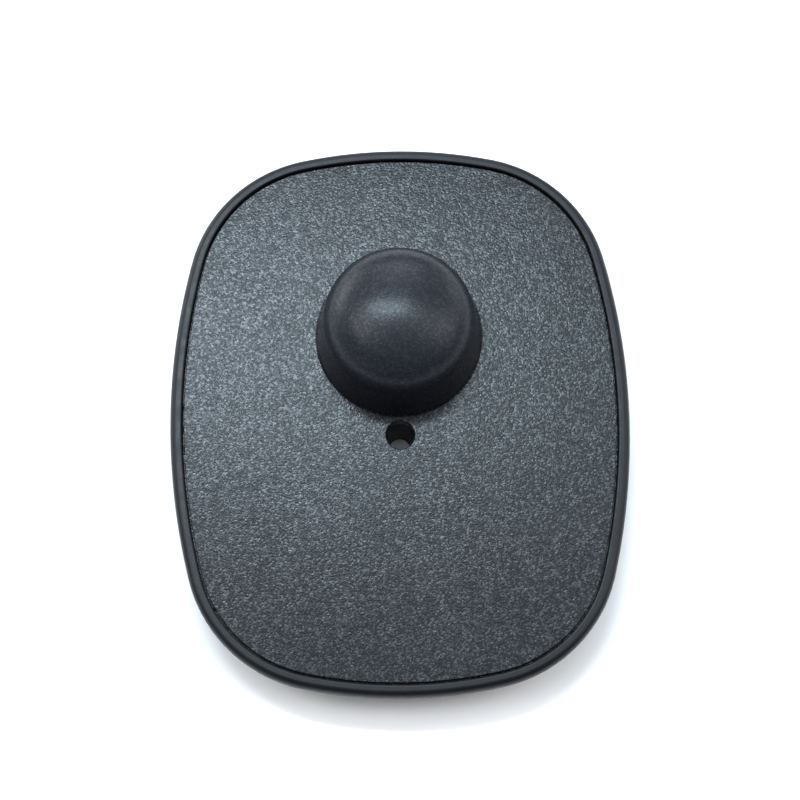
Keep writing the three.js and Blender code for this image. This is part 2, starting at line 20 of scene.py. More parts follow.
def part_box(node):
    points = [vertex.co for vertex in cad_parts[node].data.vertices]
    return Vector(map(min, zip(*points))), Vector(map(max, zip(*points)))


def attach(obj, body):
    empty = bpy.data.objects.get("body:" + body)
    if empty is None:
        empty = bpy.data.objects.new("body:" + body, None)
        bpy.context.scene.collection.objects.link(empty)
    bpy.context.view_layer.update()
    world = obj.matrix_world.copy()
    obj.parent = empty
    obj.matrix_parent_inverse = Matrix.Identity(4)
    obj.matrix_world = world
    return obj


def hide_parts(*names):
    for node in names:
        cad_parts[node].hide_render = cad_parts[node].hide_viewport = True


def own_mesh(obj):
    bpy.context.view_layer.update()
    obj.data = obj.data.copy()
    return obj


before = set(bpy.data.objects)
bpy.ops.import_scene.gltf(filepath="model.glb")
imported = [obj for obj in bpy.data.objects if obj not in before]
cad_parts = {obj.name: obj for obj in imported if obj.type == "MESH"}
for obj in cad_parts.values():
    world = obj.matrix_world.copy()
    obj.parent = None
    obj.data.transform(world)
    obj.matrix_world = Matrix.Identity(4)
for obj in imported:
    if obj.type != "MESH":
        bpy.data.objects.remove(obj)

log = logging.getLogger("security_tag")

MM = 0.001
TAU = 2 * math.pi

Point = tuple[float, float]
Colour = tuple[float, float, float]


# ------------------------------------------------------------------------------------------------
# Node trees
# ------------------------------------------------------------------------------------------------


@dataclass
class Wiring:
    """A node tree being filled in.

    Attributes:
        tree: The tree that nodes are added to.
    """

    tree: bpy.types.NodeTree

    def add(self, kind: str, values: dict[Any, Any] | None = None, **settings: Any) -> bpy.types.Node:
        """Adds a node.

        Args:
            kind: The node's type name.
            values: Input name or index to a value, or to the socket that feeds it.
            **settings: Properties of the node itself.

        Returns:
            The new node.
        """
        node = self.tree.nodes.new(kind)
        for name, setting in settings.items():
            setattr(node, name, setting)
        self.feed(node, values or {})
        return node

    def feed(self, node: bpy.types.Node, values: dict[Any, Any]) -> None:
        """Sets or links some of a node's inputs.

        Args:
            node: The node.
            values: Input name or index to a value, or to the socket that feeds it.
        """
        for key, value in values.items():
            if isinstance(value, bpy.types.NodeSocket):
                self.tree.links.new(value, node.inputs[key])
            else:
                node.inputs[key].default_value = value

    def maths(self, operation: str, *values: Any) -> bpy.types.NodeSocket:
        """Adds a maths node and returns its result."""
        return self.add("ShaderNodeMath", dict(enumerate(values)), operation=operation).outputs[0]

    def vector(self, operation: str, first: Any, second: Any) -> bpy.types.NodeSocket:
        """Adds a vector maths node.

        Args:
            operation: What it does.
            first: The first vector, or the socket that feeds it.
            second: The second vector, or the scale for SCALE.

        Returns:
            The socket with the result.
        """
        key = "Scale" if operation == "SCALE" else 1
        node = self.add("ShaderNodeVectorMath", {0: first, key: second}, operation=operation)
        return node.outputs["Value" if operation == "DOT_PRODUCT" else "Vector"]

    def mix(self, share: Any, first: Any, second: Any) -> bpy.types.NodeSocket:
        """Mixes two numbers by a share and returns the result."""
        return self.add("ShaderNodeMix", {0: share, 2: first, 3: second}).outputs[0]

    def noise(self, where: Any, size: float, detail: float = 2, rough: float = 0.5) -> Any:
        """Adds a noise texture whose features are about a size in metres.

        Args:
            where: The socket with the position.
            size: How far apart features lie.
            detail: How many finer layers it has.
            rough: How strong the finer layers are.

        Returns:
            The socket with the noise, from 0 to 1.
        """
        values = {"Vector": where, "Scale": 1 / size, "Detail": detail, "Roughness": rough}
        return self.add("ShaderNodeTexNoise", values).outputs[0]

    def remap(self, value: Any, low: float, high: float, to_low: float, to_high: float) -> Any:
        """Maps a value from one range to another, clamped, and returns the socket."""
        values = {"Value": value, 1: low, 2: high, 3: to_low, 4: to_high}
        return self.add("ShaderNodeMapRange", values).outputs[0]

    def ramp(self, value: Any, stops: Sequence[tuple[float, Colour]]) -> Any:
        """Adds a colour ramp.

        Args:
            value: The socket that picks the place on the ramp.
            stops: Positions and their colours.

        Returns:
            The socket with the colour.
        """
        node = self.add("ShaderNodeValToRGB", {0: value})
        elements = node.color_ramp.elements
        while len(elements) < len(stops):
            elements.new(0.5)
        for element, (position, colour) in zip(elements, stops):
            element.position = position
            element.color = (*colour, 1)
        return node.outputs[0]

    def bump(self, height: Any, depth: float, strength: float = 1, over: Any = None) -> Any:
        """Adds a bump.

        Args:
            height: The socket with the height, from 0 to 1.
            depth: The depth in metres that 1 stands for.
            strength: The share of the slope that shows.
            over: The normal of a coarser bump below this one.

        Returns:
            The socket with the normal.
        """
        values = {"Height": height, "Distance": depth, "Strength": strength}
        if over is not None:
            values["Normal"] = over
        return self.add("ShaderNodeBump", values).outputs[0]


@dataclass
class GrowingTree:
    """A Geometry Nodes tree with named inputs, made once and then used on any piece.

    Attributes:
        name: The tree's name.
        sockets: Each input's name and kind of socket, after the geometry.
        wiring: The tree being filled in.
        inputs: The node that gives the inputs.
    """

    name: str
    sockets: dict[str, str]
    wiring: Wiring = field(init=False)
    inputs: bpy.types.Node = field(init=False)

    def __post_init__(self) -> None:
        """Makes the empty tree and its interface."""
        tree = bpy.data.node_groups.new(self.name, "GeometryNodeTree")
        tree.interface.new_socket(name="Geometry", in_out="INPUT", socket_type="NodeSocketGeometry")
        for name, kind in self.sockets.items():
            tree.interface.new_socket(name=name, in_out="INPUT", socket_type=f"NodeSocket{kind}")
        tree.interface.new_socket(name="Geometry", in_out="OUTPUT", socket_type="NodeSocketGeometry")
        self.wiring = Wiring(tree)
        self.inputs = self.wiring.add("NodeGroupInput")

    def end(self, geometry: Any) -> "GrowingTree":
        """Realizes what the tree made, gives it the material and joins it to the output.

        Args:
            geometry: The socket with what was made.

        Returns:
            The tree itself.
        """
        realized = self.wiring.add("GeometryNodeRealizeInstances", {0: geometry})
        dress = {"Geometry": realized.outputs[0], "Material": self.inputs.outputs["Material"]}
        dressed = self.wiring.add("GeometryNodeSetMaterial", dress)
        self.wiring.add("NodeGroupOutput", {0: dressed.outputs[0]})
        return self

    def grow(self, name: str, base: bpy.types.Object, **values: Any) -> bpy.types.Object:
        """Runs the tree on a base and keeps the result as a plain mesh.

        Args:
            name: The new object's name.
            base: The object whose mesh goes in. It is removed.
            **values: The inputs, by name with underscores for spaces.

        Returns:
            The new object, at the origin, with no modifier.
        """
        modifier = base.modifiers.new(self.name, "NODES")
        modifier.node_group = self.wiring.tree
        for item in self.wiring.tree.interface.items_tree:
            key = item.name.replace(" ", "_")
            if item.in_out == "INPUT" and key in values:
                modifier[item.identifier] = values[key]
        depsgraph = bpy.context.evaluated_depsgraph_get()
        mesh = bpy.data.meshes.new_from_object(base.evaluated_get(depsgraph))
        discard(base)
        mesh.name = name
        return place(name, mesh)


# ------------------------------------------------------------------------------------------------
# Meshes
# ------------------------------------------------------------------------------------------------


def place(name: str, mesh: bpy.types.Mesh) -> bpy.types.Object:
    """Links a mesh to the scene as an object at the origin.

    Args:
        name: The object's name.
        mesh: Its mesh.

    Returns:
        The object.
    """
    piece = bpy.data.objects.new(name, mesh)
    bpy.context.scene.collection.objects.link(piece)
    return piece


def discard(*helpers: bpy.types.Object) -> None:
    """Removes objects that were only needed to make others."""
    for helper in helpers:
        bpy.data.objects.remove(helper)


def polyline(points: Sequence[Sequence[float]], closed: bool = False) -> bpy.types.Object:
    """Makes an object of edges from point to point.

    Args:
        points: Two or three coordinates each, in metres.
        closed: Whether the last point is joined to the first.

    Returns:
        The helper object.
    """
    spots = [(*point, 0.0)[:3] for point in points]
    count = len(spots)
    edges = [(i, (i + 1) % count) for i in range(count if closed else count - 1)]
    mesh = bpy.data.meshes.new("helper_line")
    mesh.from_pydata(spots, edges, [])
    return place("helper_line", mesh)


def edit(piece: bpy.types.Object, change: Callable[[bmesh.types.BMesh], None]) -> bpy.types.Object:
    """Applies a change to an object's mesh.

    Args:
        piece: The object.
        change: What is done to its mesh.

    Returns:
        The object.
    """
    mesh = bmesh.new()
    mesh.from_mesh(piece.data)
    change(mesh)
    mesh.to_mesh(piece.data)
    mesh.free()
    return piece


def close_flat(piece: bpy.types.Object) -> bpy.types.Object:
    """Merges doubles, closes each open ring with a flat face and turns all faces outwards.

    Args:
        piece: The object.

    Returns:
        The object.
    """

    def change(mesh: bmesh.types.BMesh) -> None:
        """Does so to the mesh.

        Args:
            mesh: The mesh.
        """
        bmesh.ops.remove_doubles(mesh, verts=mesh.verts, dist=1e-7)
        bmesh.ops.dissolve_degenerate(mesh, edges=mesh.edges, dist=1e-8)
        rims = [edge for edge in mesh.edges if edge.is_boundary]
        bmesh.ops.holes_fill(mesh, edges=rims, sides=0)
        bmesh.ops.recalc_face_normals(mesh, faces=mesh.faces)

    return edit(piece, change)


class Join(Enum):
    """How one solid is combined with another."""

    UNION = "UNION"
    CUT = "DIFFERENCE"


def combine(piece: bpy.types.Object, other: bpy.types.Object, join: Join) -> bpy.types.Object:
    """Joins or cuts a solid with another, which is removed.

    Args:
        piece: The solid that stays.
        other: The solid that is added or taken away.
        join: Which of the two.

    Returns:
        The first solid, changed.
    """
    modifier = piece.modifiers.new("join", "BOOLEAN")
    modifier.object = other
    modifier.operation = join.value
    modifier.solver = "EXACT"
    return settle(piece, other)


def settle(piece: bpy.types.Object, *helpers: bpy.types.Object) -> bpy.types.Object:
    """Applies an object's modifiers and removes the helpers they used.

    Args:
        piece: The object.
        *helpers: The objects that its modifiers used.

    Returns:
        The object.
    """
    depsgraph = bpy.context.evaluated_depsgraph_get()
    mesh = bpy.data.meshes.new_from_object(piece.evaluated_get(depsgraph))
    piece.modifiers.clear()
    piece.data = mesh
    discard(*helpers)
    return piece


def soften_edges(piece: bpy.types.Object, width: float, segments: int = 2) -> bpy.types.Object:
    """Rounds the sharp edges of a solid.

    Args:
        piece: The solid.
        width: The width of the rounding.
        segments: How many facets it has.

    Returns:
        The solid.
    """
    modifier = piece.modifiers.new("edge", "BEVEL")
    modifier.width = width
    modifier.segments = segments
    modifier.limit_method = "ANGLE"
    modifier.angle_limit = math.radians(35)
    return settle(piece)


def shade(piece: bpy.types.Object, angle: float = 32) -> bpy.types.Object:
    """Shades a piece smooth, with its edges over an angle sharp and its level faces flat.

    Args:
        piece: The piece.
        angle: The angle in degrees from which an edge is sharp.

    Returns:
        The piece.
    """
    piece.data.set_sharp_from_angle(angle=math.radians(angle))
    for face in piece.data.polygons:
        face.use_smooth = abs(face.normal.z) < 0.9999
    return piece


def in_mm(*points: Point) -> list[Point]:
    """Returns points given in millimetres in metres."""
    return [(across * MM, up * MM) for across, up in points]


def round_arc(centre: Point, radii: Point, start: float, stop: float, steps: int) -> list[Point]:
    """Works out points along a round or elliptical arc.

    Args:
        centre: The arc's centre.
        radii: Its half-widths across and up.
        start: The first angle in degrees.
        stop: The last angle in degrees.
        steps: How many steps it takes.

    Returns:
        The points, one more than the steps.
    """
    angles = [math.radians(start + (stop - start) * i / steps) for i in range(steps + 1)]
    return [(centre[0] + radii[0] * math.cos(a), centre[1] + radii[1] * math.sin(a)) for a in angles]


# ------------------------------------------------------------------------------------------------
# Growing trees that the pieces share
# ------------------------------------------------------------------------------------------------


def section_sweep_tree() -> GrowingTree:
    """Sweeps a section round a closed path, its first axis outwards and its second downwards.

    Returns:
        The tree.
    """
    made = GrowingTree("section_sweep", {"Section": "Object", "Material": "Material"})
    wiring, given = made.wiring, made.inputs.outputs
    path = wiring.add("GeometryNodeMeshToCurve", {0: given["Geometry"]})
    upright = wiring.add("GeometryNodeSetCurveNormal", {0: path.outputs[0]}, mode="Z_UP")
    info = wiring.add("GeometryNodeObjectInfo", {"Object": given["Section"]})
    section = wiring.add("GeometryNodeMeshToCurve", {0: info.outputs["Geometry"]})
    swept = wiring.add("GeometryNodeCurveToMesh", {0: upright.outputs[0], 1: section.outputs[0]})
    return made.end(swept.outputs[0])


def wire_tree() -> GrowingTree:
    """Draws a round wire along a path, with closed ends.

    Returns:
        The tree.
    """
    sockets = {"Wire Radius": "Float", "Sides": "Int", "Material": "Material"}
    made = GrowingTree("drawn_wire", sockets)
    wiring, given = made.wiring, made.inputs.outputs
    path = wiring.add("GeometryNodeMeshToCurve", {0: given["Geometry"]})
    size = {"Resolution": given["Sides"], "Radius": given["Wire Radius"]}
    circle = wiring.add("GeometryNodeCurvePrimitiveCircle", size)
    ends = {0: path.outputs[0], 1: circle.outputs[0], "Fill Caps": True}
    return made.end(wiring.add("GeometryNodeCurveToMesh", ends).outputs[0])


def ring_of_ribs_tree() -> GrowingTree:
    """Sets a number of copies of a rib round the vertical axis.

    Returns:
        The tree.
    """
    sockets = {"Rib Count": "Int", "Axis": "Vector", "Material": "Material"}
    made = GrowingTree("ring_of_ribs", sockets)
    wiring, given = made.wiring, made.inputs.outputs
    points = wiring.add("GeometryNodePoints", {"Count": given["Rib Count"], "Position": given["Axis"]})
    index = wiring.add("GeometryNodeInputIndex")
    step = wiring.maths("DIVIDE", TAU, given["Rib Count"])
    turn = wiring.add("ShaderNodeCombineXYZ", {"Z": wiring.maths("MULTIPLY", index.outputs[0], step)})
    copies = {"Points": points.outputs[0], "Instance": given["Geometry"], "Rotation": turn.outputs[0]}
    return made.end(wiring.add("GeometryNodeInstanceOnPoints", copies).outputs[0])


def blocks_on_path_tree() -> GrowingTree:
    """Stands blocks at the points of a path, each with its length along the path.

    Returns:
        The tree.
    """
    made = GrowingTree("blocks_on_path", {"Block Size": "Vector", "Material": "Material"})
    wiring, given = made.wiring, made.inputs.outputs
    path = wiring.add("GeometryNodeMeshToCurve", {0: given["Geometry"]})
    tangent = wiring.add("GeometryNodeInputTangent")
    aim = wiring.add("FunctionNodeAlignRotationToVector", {"Vector": tangent.outputs[0]}, axis="X")
    block = wiring.add("GeometryNodeMeshCube", {"Size": given["Block Size"]})
    copies = {"Points": path.outputs[0], "Instance": block.outputs[0], "Rotation": aim.outputs[0]}
    return made.end(wiring.add("GeometryNodeInstanceOnPoints", copies).outputs[0])


def weld_flash_tree() -> GrowingTree:
    """Scatters small uneven beads of squeezed-out plastic along the welded seam.

    Returns:
        The tree.
    """
    sockets = {"Bead Count": "Int", "Smallest": "Float", "Largest": "Float", "Seed": "Int"}
    made = GrowingTree("weld_flash", {**sockets, "Material": "Material"})
    wiring, given = made.wiring, made.inputs.outputs
    reach = (0.9 * MM, 0.9 * MM, 0.02 * MM)
    stretch = 2.2
    path = wiring.add("GeometryNodeMeshToCurve", {0: given["Geometry"]})
    points = wiring.add("GeometryNodeCurveToPoints", {0: path.outputs[0], "Count": given["Bead Count"]})
    tangent = points.outputs["Tangent"]
    limits = {0: (-1.0, -1.0, -1.0), 1: (1.0, 1.0, 1.0), "Seed": given["Seed"]}
    jitter = wiring.add("FunctionNodeRandomValue", limits, data_type="FLOAT_VECTOR")
    along = wiring.vector("DOT_PRODUCT", wiring.vector("MULTIPLY", jitter.outputs[0], reach), tangent)
    slide = {0: points.outputs[0], "Offset": wiring.vector("SCALE", tangent, along)}
    moved = wiring.add("GeometryNodeSetPosition", slide)
    chance = wiring.add("FunctionNodeRandomValue", {2: 0.0, 3: 1.0, "Seed": given["Seed"]})
    rare = wiring.maths("POWER", chance.outputs[1], 4.0)
    growth = wiring.maths("SUBTRACT", given["Largest"], given["Smallest"])
    size = wiring.maths("ADD", given["Smallest"], wiring.maths("MULTIPLY", rare, growth))
    bead = wiring.add("GeometryNodeMeshIcoSphere", {"Radius": 1.0, "Subdivisions": 2})
    long = wiring.maths("MULTIPLY", size, stretch)
    shape = wiring.add("ShaderNodeCombineXYZ", {0: long, 1: size, 2: size})
    aim = wiring.add("FunctionNodeAlignRotationToVector", {"Vector": tangent}, axis="X")
    copies = {"Points": moved.outputs[0], "Instance": bead.outputs[0], "Rotation": aim.outputs[0]}
    beads = wiring.add("GeometryNodeInstanceOnPoints", {**copies, "Scale": shape.outputs[0]})
    return made.end(beads.outputs[0])


@dataclass
class Workshop:
    """The growing trees, made once and shared by every sub-assembly.

    Attributes:
        sweep: Sweeps a section round a closed path.
        wire: Draws a wire along a path.
        ribs: Sets ribs round an upright axis.
        blocks: Stands blocks on a path.
        flash: Scatters beads of weld flash.
    """

    sweep: GrowingTree = field(default_factory=section_sweep_tree)
    wire: GrowingTree = field(default_factory=wire_tree)
    ribs: GrowingTree = field(default_factory=ring_of_ribs_tree)
    blocks: GrowingTree = field(default_factory=blocks_on_path_tree)
    flash: GrowingTree = field(default_factory=weld_flash_tree)

    def swept(
        self, name: str, path: Sequence[Point], section: Sequence[Point], material: Any, ring: bool = False
    ) -> bpy.types.Object:
        """Sweeps a section round a path and closes its ends flat.

        Args:
            name: The piece's name.
            path: The path's points, anticlockwise.
            section: Outward offset and height of each section point.
            material: The finished material.
            ring: Whether the section closes on itself.

        Returns:
            The closed solid.
        """
        outline = polyline(path, closed=True)
        profile = polyline([(out, -height) for out, height in section], closed=ring)
        piece = self.sweep.grow(name, outline, Section=profile, Material=material)
        discard(profile)
        return close_flat(piece)

    def turned(
        self,
        name: str,
        profile: Sequence[Point],
        centre: Point,
        material: Any,
        ring: bool = False,
        segments: int = 96,
    ) -> bpy.types.Object:
        """Turns a profile about an upright axis.

        Args:
            name: The piece's name.
            profile: Radius and height of each point.
            centre: The axis's place.
            material: The finished material.
            ring: Whether the profile closes on itself.
            segments: How many facets go round.

        Returns:
            The closed solid.
        """
        reach = max(radius for radius, _ in profile)
        path = round_arc(centre, (reach, reach), 0, 360, segments)[:-1]
        section = [(radius - reach, height) for radius, height in profile]
        return self.swept(name, path, section, material, ring)


# ------------------------------------------------------------------------------------------------
# Finishes
# ------------------------------------------------------------------------------------------------


@dataclass(frozen=True)
class Finish(ABC):
    """A finish that can be made into a material.

    Attributes:
        name: The material's name.
        slot: The record's material slot; not used.
        colour: The main colour, linear.
        roughness: The average roughness.
    """

    name: str
    slot: str
    colour: Colour
    roughness: float

    def material(self) -> bpy.types.Material:
        """Makes the material, unless it is already made.

        Returns:
            The material.
        """
        made = bpy.data.materials.get(self.name)
        if made is None:
            made = bpy.data.materials.new(self.name)
            made.use_nodes = True
            made.node_tree.nodes.clear()
            wiring = Wiring(made.node_tree)
            skin = wiring.add("ShaderNodeBsdfPrincipled", {"Roughness": self.roughness})
            skin.inputs["Base Color"].default_value = (*self.colour, 1)
            wiring.add("ShaderNodeOutputMaterial", {"Surface": skin.outputs[0]})
            spot = wiring.add("ShaderNodeTexCoord").outputs["Object"]
            self.paint(wiring, skin, spot)
        return made

    @abstractmethod
    def paint(self, wiring: Wiring, skin: bpy.types.Node, spot: bpy.types.NodeSocket) -> None:
        """Adds the finish's own nodes.

        Args:
            wiring: The material's tree.
            skin: The shader whose inputs are fed.
            spot: The position on the object.
        """

    def tint(self, share: float) -> Colour:
        """Returns the colour made lighter or darker by a share."""
        red, green, blue = self.colour
        return (red * share, green * share, blue * share)


@dataclass(frozen=True)
class GrainedPlastic(Finish):
    """Charcoal plastic moulded against a spark-eroded tool, coarse on the plate, fine on the dome.

    Attributes:
        dome_gloss: The dome's roughness.
        dome_painted_fill: Painted fill light: how much paler the dome's colour is made than the plate's, so
            that its shaded side reads lighter.
        plate_top: The height of the plate's face.
        facet: The width of the plate's facets.
        depth: The height of the plate's grains.
        fine: The size of the dome's grain.
        dimmest: What the dullest facet reflects, as a share of the plain plastic.
        spread: How much more the brightest facet reflects.
        sheen: The plate's specular level.
        dome_sheen: The dome's specular level.
    """

    dome_gloss: float = 0.27
    dome_painted_fill: float = 2.2
    plate_top: float = 7.15 * MM
    facet: float = 0.195 * MM
    depth: float = 0.02 * MM
    fine: float = 0.2 * MM
    dimmest: float = 0.66
    spread: float = 1.36
    sheen: float = 0.19
    dome_sheen: float = 0.135

    def paint(self, wiring: Wiring, skin: bpy.types.Node, spot: bpy.types.NodeSocket) -> None:
        """Adds the plate's glinting facets and the dome's fine grain, mixed by height.

        Args:
            wiring: The material's tree.
            skin: The shader whose inputs are fed.
            spot: The position on the object.
        """
        parts = wiring.add("ShaderNodeSeparateXYZ", {0: spot}).outputs
        above = wiring.remap(parts[2], self.plate_top + 0.1 * MM, self.plate_top + 0.5 * MM, 0, 1)
        facets = wiring.add("ShaderNodeTexVoronoi", {"Vector": spot, "Scale": 1 / self.facet}).outputs
        random = wiring.add("ShaderNodeSeparateColor", {0: facets["Color"]}).outputs[0]
        bright = wiring.maths("MULTIPLY", wiring.maths("POWER", random, 3.0), self.spread)
        glint = wiring.maths("ADD", bright, self.dimmest)
        lumps = wiring.noise(spot, self.facet * 1.25, 2, 0.5)
        fine = wiring.noise(spot, self.fine, 3, 0.55)
        relief = wiring.maths("SUBTRACT", lumps, wiring.maths("MULTIPLY", facets["Distance"], 0.5))
        bumps = {0: above, 4: wiring.bump(relief, self.depth), 5: wiring.bump(fine, 0.012 * MM)}
        normal = wiring.add("ShaderNodeMix", bumps, data_type="VECTOR").outputs[1]
        patch = wiring.remap(wiring.noise(spot, 7 * MM, 3, 0.6), 0.3, 0.7, 0.94, 1.06)
        even = wiring.remap(fine, 0.3, 0.7, 0.5, 0.7)
        plain = wiring.maths("ADD", even, wiring.maths("MULTIPLY", glint, 0.4))
        level = wiring.maths("MULTIPLY", wiring.mix(above, glint, plain), patch)
        # Painted fill light: the dome's colour is scaled up so that its shaded side reads lighter.
        painted_fill = wiring.mix(above, 1.0, self.dome_painted_fill)
        colour = wiring.vector("SCALE", self.colour, wiring.maths("MULTIPLY", level, painted_fill))
        sheen = wiring.maths("MULTIPLY", level, wiring.mix(above, self.sheen, self.dome_sheen))
        plate_gloss = wiring.remap(lumps, 0.3, 0.7, self.roughness + 0.05, self.roughness - 0.05)
        gloss = wiring.mix(above, plate_gloss, self.dome_gloss)
        skin_values = {"Normal": normal, "Base Color": colour, "Roughness": gloss}
        wiring.feed(skin, {**skin_values, "Specular IOR Level": sheen})


@dataclass(frozen=True)
class SatinPlastic(Finish):
    """Charcoal plastic with a fine satin face, a little polished by handling.

    Attributes:
        grain: The size of its grain.
        sheen: Its specular level.
    """

    grain: float = 0.16 * MM
    sheen: float = 0.17

    def paint(self, wiring: Wiring, skin: bpy.types.Node, spot: bpy.types.NodeSocket) -> None:
        """Adds a fine grain, flow marks, and roughness that varies with wear.

        Args:
            wiring: The material's tree.
            skin: The shader whose inputs are fed.
            spot: The position on the object.
        """
        grain = wiring.noise(spot, self.grain, 3, 0.6)
        scuffs = wiring.noise(spot, 1.1 * MM, 4, 0.65)
        flow = wiring.noise(spot, 9 * MM, 2, 0.5)
        normal = wiring.bump(grain, 0.012 * MM, over=wiring.bump(scuffs, 0.01 * MM))
        colour = wiring.vector("SCALE", self.colour, wiring.remap(flow, 0.3, 0.7, 0.9, 1.1))
        gloss = wiring.remap(scuffs, 0.3, 0.75, self.roughness - 0.05, self.roughness + 0.09)
        skin_values = {"Normal": normal, "Base Color": colour, "Roughness": gloss}
        wiring.feed(skin, {**skin_values, "Specular IOR Level": self.sheen})


@dataclass(frozen=True)
class TurnedSteel(Finish):
    """Plated steel with the fine rings that turning leaves round an upright axis.

    Attributes:
        axis: Where the axis stands.
        mark: The distance between tool marks.
    """

    axis: Point = (0.0, 0.0)
    mark: float = 0.12 * MM

    def paint(self, wiring: Wiring, skin: bpy.types.Node, spot: bpy.types.NodeSocket) -> None:
        """Adds the rings, the plating's mottle and its stains.

        Args:
            wiring: The material's tree.
            skin: The shader whose inputs are fed.
            spot: The position on the object.
        """
        centred = wiring.vector("SUBTRACT", spot, (*self.axis, 0))
        parts = wiring.add("ShaderNodeSeparateXYZ", {0: centred}).outputs
        squares = [wiring.maths("MULTIPLY", part, part) for part in (parts[0], parts[1])]
        radius = wiring.maths("SQRT", wiring.maths("ADD", *squares))
        along = wiring.maths("ADD", radius, parts[2])
        rings = wiring.add("ShaderNodeCombineXYZ", {0: along, 1: 0.0, 2: 0.0}).outputs[0]
        marks = wiring.noise(rings, self.mark, 2, 0.6)
        mottle = wiring.noise(spot, 0.5 * MM, 4, 0.6)
        normal = wiring.bump(marks, 0.006 * MM, over=wiring.bump(mottle, 0.004 * MM))
        stops = [(0.3, self.tint(0.72)), (0.55, self.colour), (0.75, self.tint(1.15))]
        gloss = wiring.remap(mottle, 0.3, 0.7, self.roughness - 0.08, self.roughness + 0.12)
        skin_values = {"Normal": normal, "Base Color": wiring.ramp(mottle, stops), "Roughness": gloss}
        wiring.feed(skin, {**skin_values, "Metallic": 1})


@dataclass(frozen=True)
class BareMetal(Finish):
    """Bright metal with fine scratches and a thin bloom, for balls, wire, tin and solder.

    Attributes:
        scratch: The distance between scratches.
        depth: How deep they are.
        bloom: How far the colour varies.
    """

    scratch: float = 0.1 * MM
    depth: float = 0.002 * MM
    bloom: float = 0.15

    def paint(self, wiring: Wiring, skin: bpy.types.Node, spot: bpy.types.NodeSocket) -> None:
        """Adds the scratches, drawn out in one direction, and the bloom.

        Args:
            wiring: The material's tree.
            skin: The shader whose inputs are fed.
            spot: The position on the object.
        """
        drawn_out = {"Vector": spot, "Rotation": (0.5, 0.3, 0.7), "Scale": (1, 6, 1)}
        drawn = wiring.add("ShaderNodeMapping", drawn_out).outputs[0]
        scratches = wiring.noise(drawn, self.scratch, 3, 0.7)
        bloom = wiring.noise(spot, 0.8 * MM, 3, 0.5)
        normal = wiring.bump(scratches, self.depth)
        stops = [(0.3, self.tint(1 - self.bloom)), (0.7, self.tint(1 + self.bloom * 0.5))]
        gloss = wiring.remap(scratches, 0.3, 0.7, self.roughness * 0.7, self.roughness * 1.4)
        skin_values = {"Normal": normal, "Base Color": wiring.ramp(bloom, stops), "Roughness": gloss}
        wiring.feed(skin, {**skin_values, "Metallic": 1})


@dataclass(frozen=True)
class EnamelledCopper(Finish):
    """Copper wire under a clear amber enamel, darker where the enamel is thick."""

    def paint(self, wiring: Wiring, skin: bpy.types.Node, spot: bpy.types.NodeSocket) -> None:
        """Adds the enamel's coat and its drifts of colour.

        Args:
            wiring: The material's tree.
            skin: The shader whose inputs are fed.
            spot: The position on the object.
        """
        drift = wiring.noise(spot, 2.5 * MM, 3, 0.6)
        stops = [(0.3, self.tint(0.7)), (0.55, self.colour), (0.75, self.tint(1.25))]
        ripple = wiring.noise(spot, 0.3 * MM, 2, 0.5)
        normal = wiring.bump(ripple, 0.004 * MM)
        gloss = wiring.remap(ripple, 0.3, 0.7, self.roughness - 0.06, self.roughness + 0.1)
        skin_values = {"Normal": normal, "Base Color": wiring.ramp(drift, stops), "Roughness": gloss}
        coat = {"Metallic": 0.9, "Coat Weight": 0.7, "Coat Roughness": 0.12}
        wiring.feed(skin, {**skin_values, **coat})


@dataclass(frozen=True)
class DippedCoat(Finish):
    """The capacitor's dipped coat: a thick, slightly speckled resin."""

    def paint(self, wiring: Wiring, skin: bpy.types.Node, spot: bpy.types.NodeSocket) -> None:
        """Adds pigment specks, orange peel and a clear coat.

        Args:
            wiring: The material's tree.
            skin: The shader whose inputs are fed.
            spot: The position on the object.
        """
        specks = wiring.noise(spot, 0.12 * MM, 4, 0.7)
        peel = wiring.noise(spot, 0.5 * MM, 2, 0.5)
        stops = [(0.32, self.tint(0.6)), (0.5, self.colour), (0.72, self.tint(1.2))]
        normal = wiring.bump(peel, 0.02 * MM)
        gloss = wiring.remap(peel, 0.3, 0.7, self.roughness - 0.05, self.roughness + 0.1)
        skin_values = {"Normal": normal, "Base Color": wiring.ramp(specks, stops), "Roughness": gloss}
        wiring.feed(skin, {**skin_values, "Coat Weight": 0.35, "Coat Roughness": 0.2})


@dataclass(frozen=True)
class HotMelt(Finish):
    """Milky hot-melt glue: waxy, a little translucent, with trapped bubbles."""

    def paint(self, wiring: Wiring, skin: bpy.types.Node, spot: bpy.types.NodeSocket) -> None:
        """Adds the glue's scatter, its bubbles and its waxy ripples.

        Args:
            wiring: The material's tree.
            skin: The shader whose inputs are fed.
            spot: The position on the object.
        """
        bubble = 0.5 * MM
        ripple = wiring.noise(spot, 0.9 * MM, 3, 0.5)
        cells = wiring.add("ShaderNodeTexVoronoi", {"Vector": spot, "Scale": 1 / bubble})
        bubbles = cells.outputs["Distance"]
        normal = wiring.bump(bubbles, 0.02 * MM, over=wiring.bump(ripple, 0.06 * MM))
        stops = [(0.05, self.tint(0.8)), (0.35, self.colour), (0.7, self.tint(1.08))]
        gloss = wiring.remap(ripple, 0.3, 0.7, self.roughness - 0.08, self.roughness + 0.12)
        skin_values = {"Normal": normal, "Base Color": wiring.ramp(bubbles, stops), "Roughness": gloss}
        scatter = {"Subsurface Weight": 0.4, "Subsurface Radius": (1.0, 0.8, 0.5)}
        wiring.feed(skin, {**skin_values, **scatter, "Subsurface Scale": 0.6 * MM})


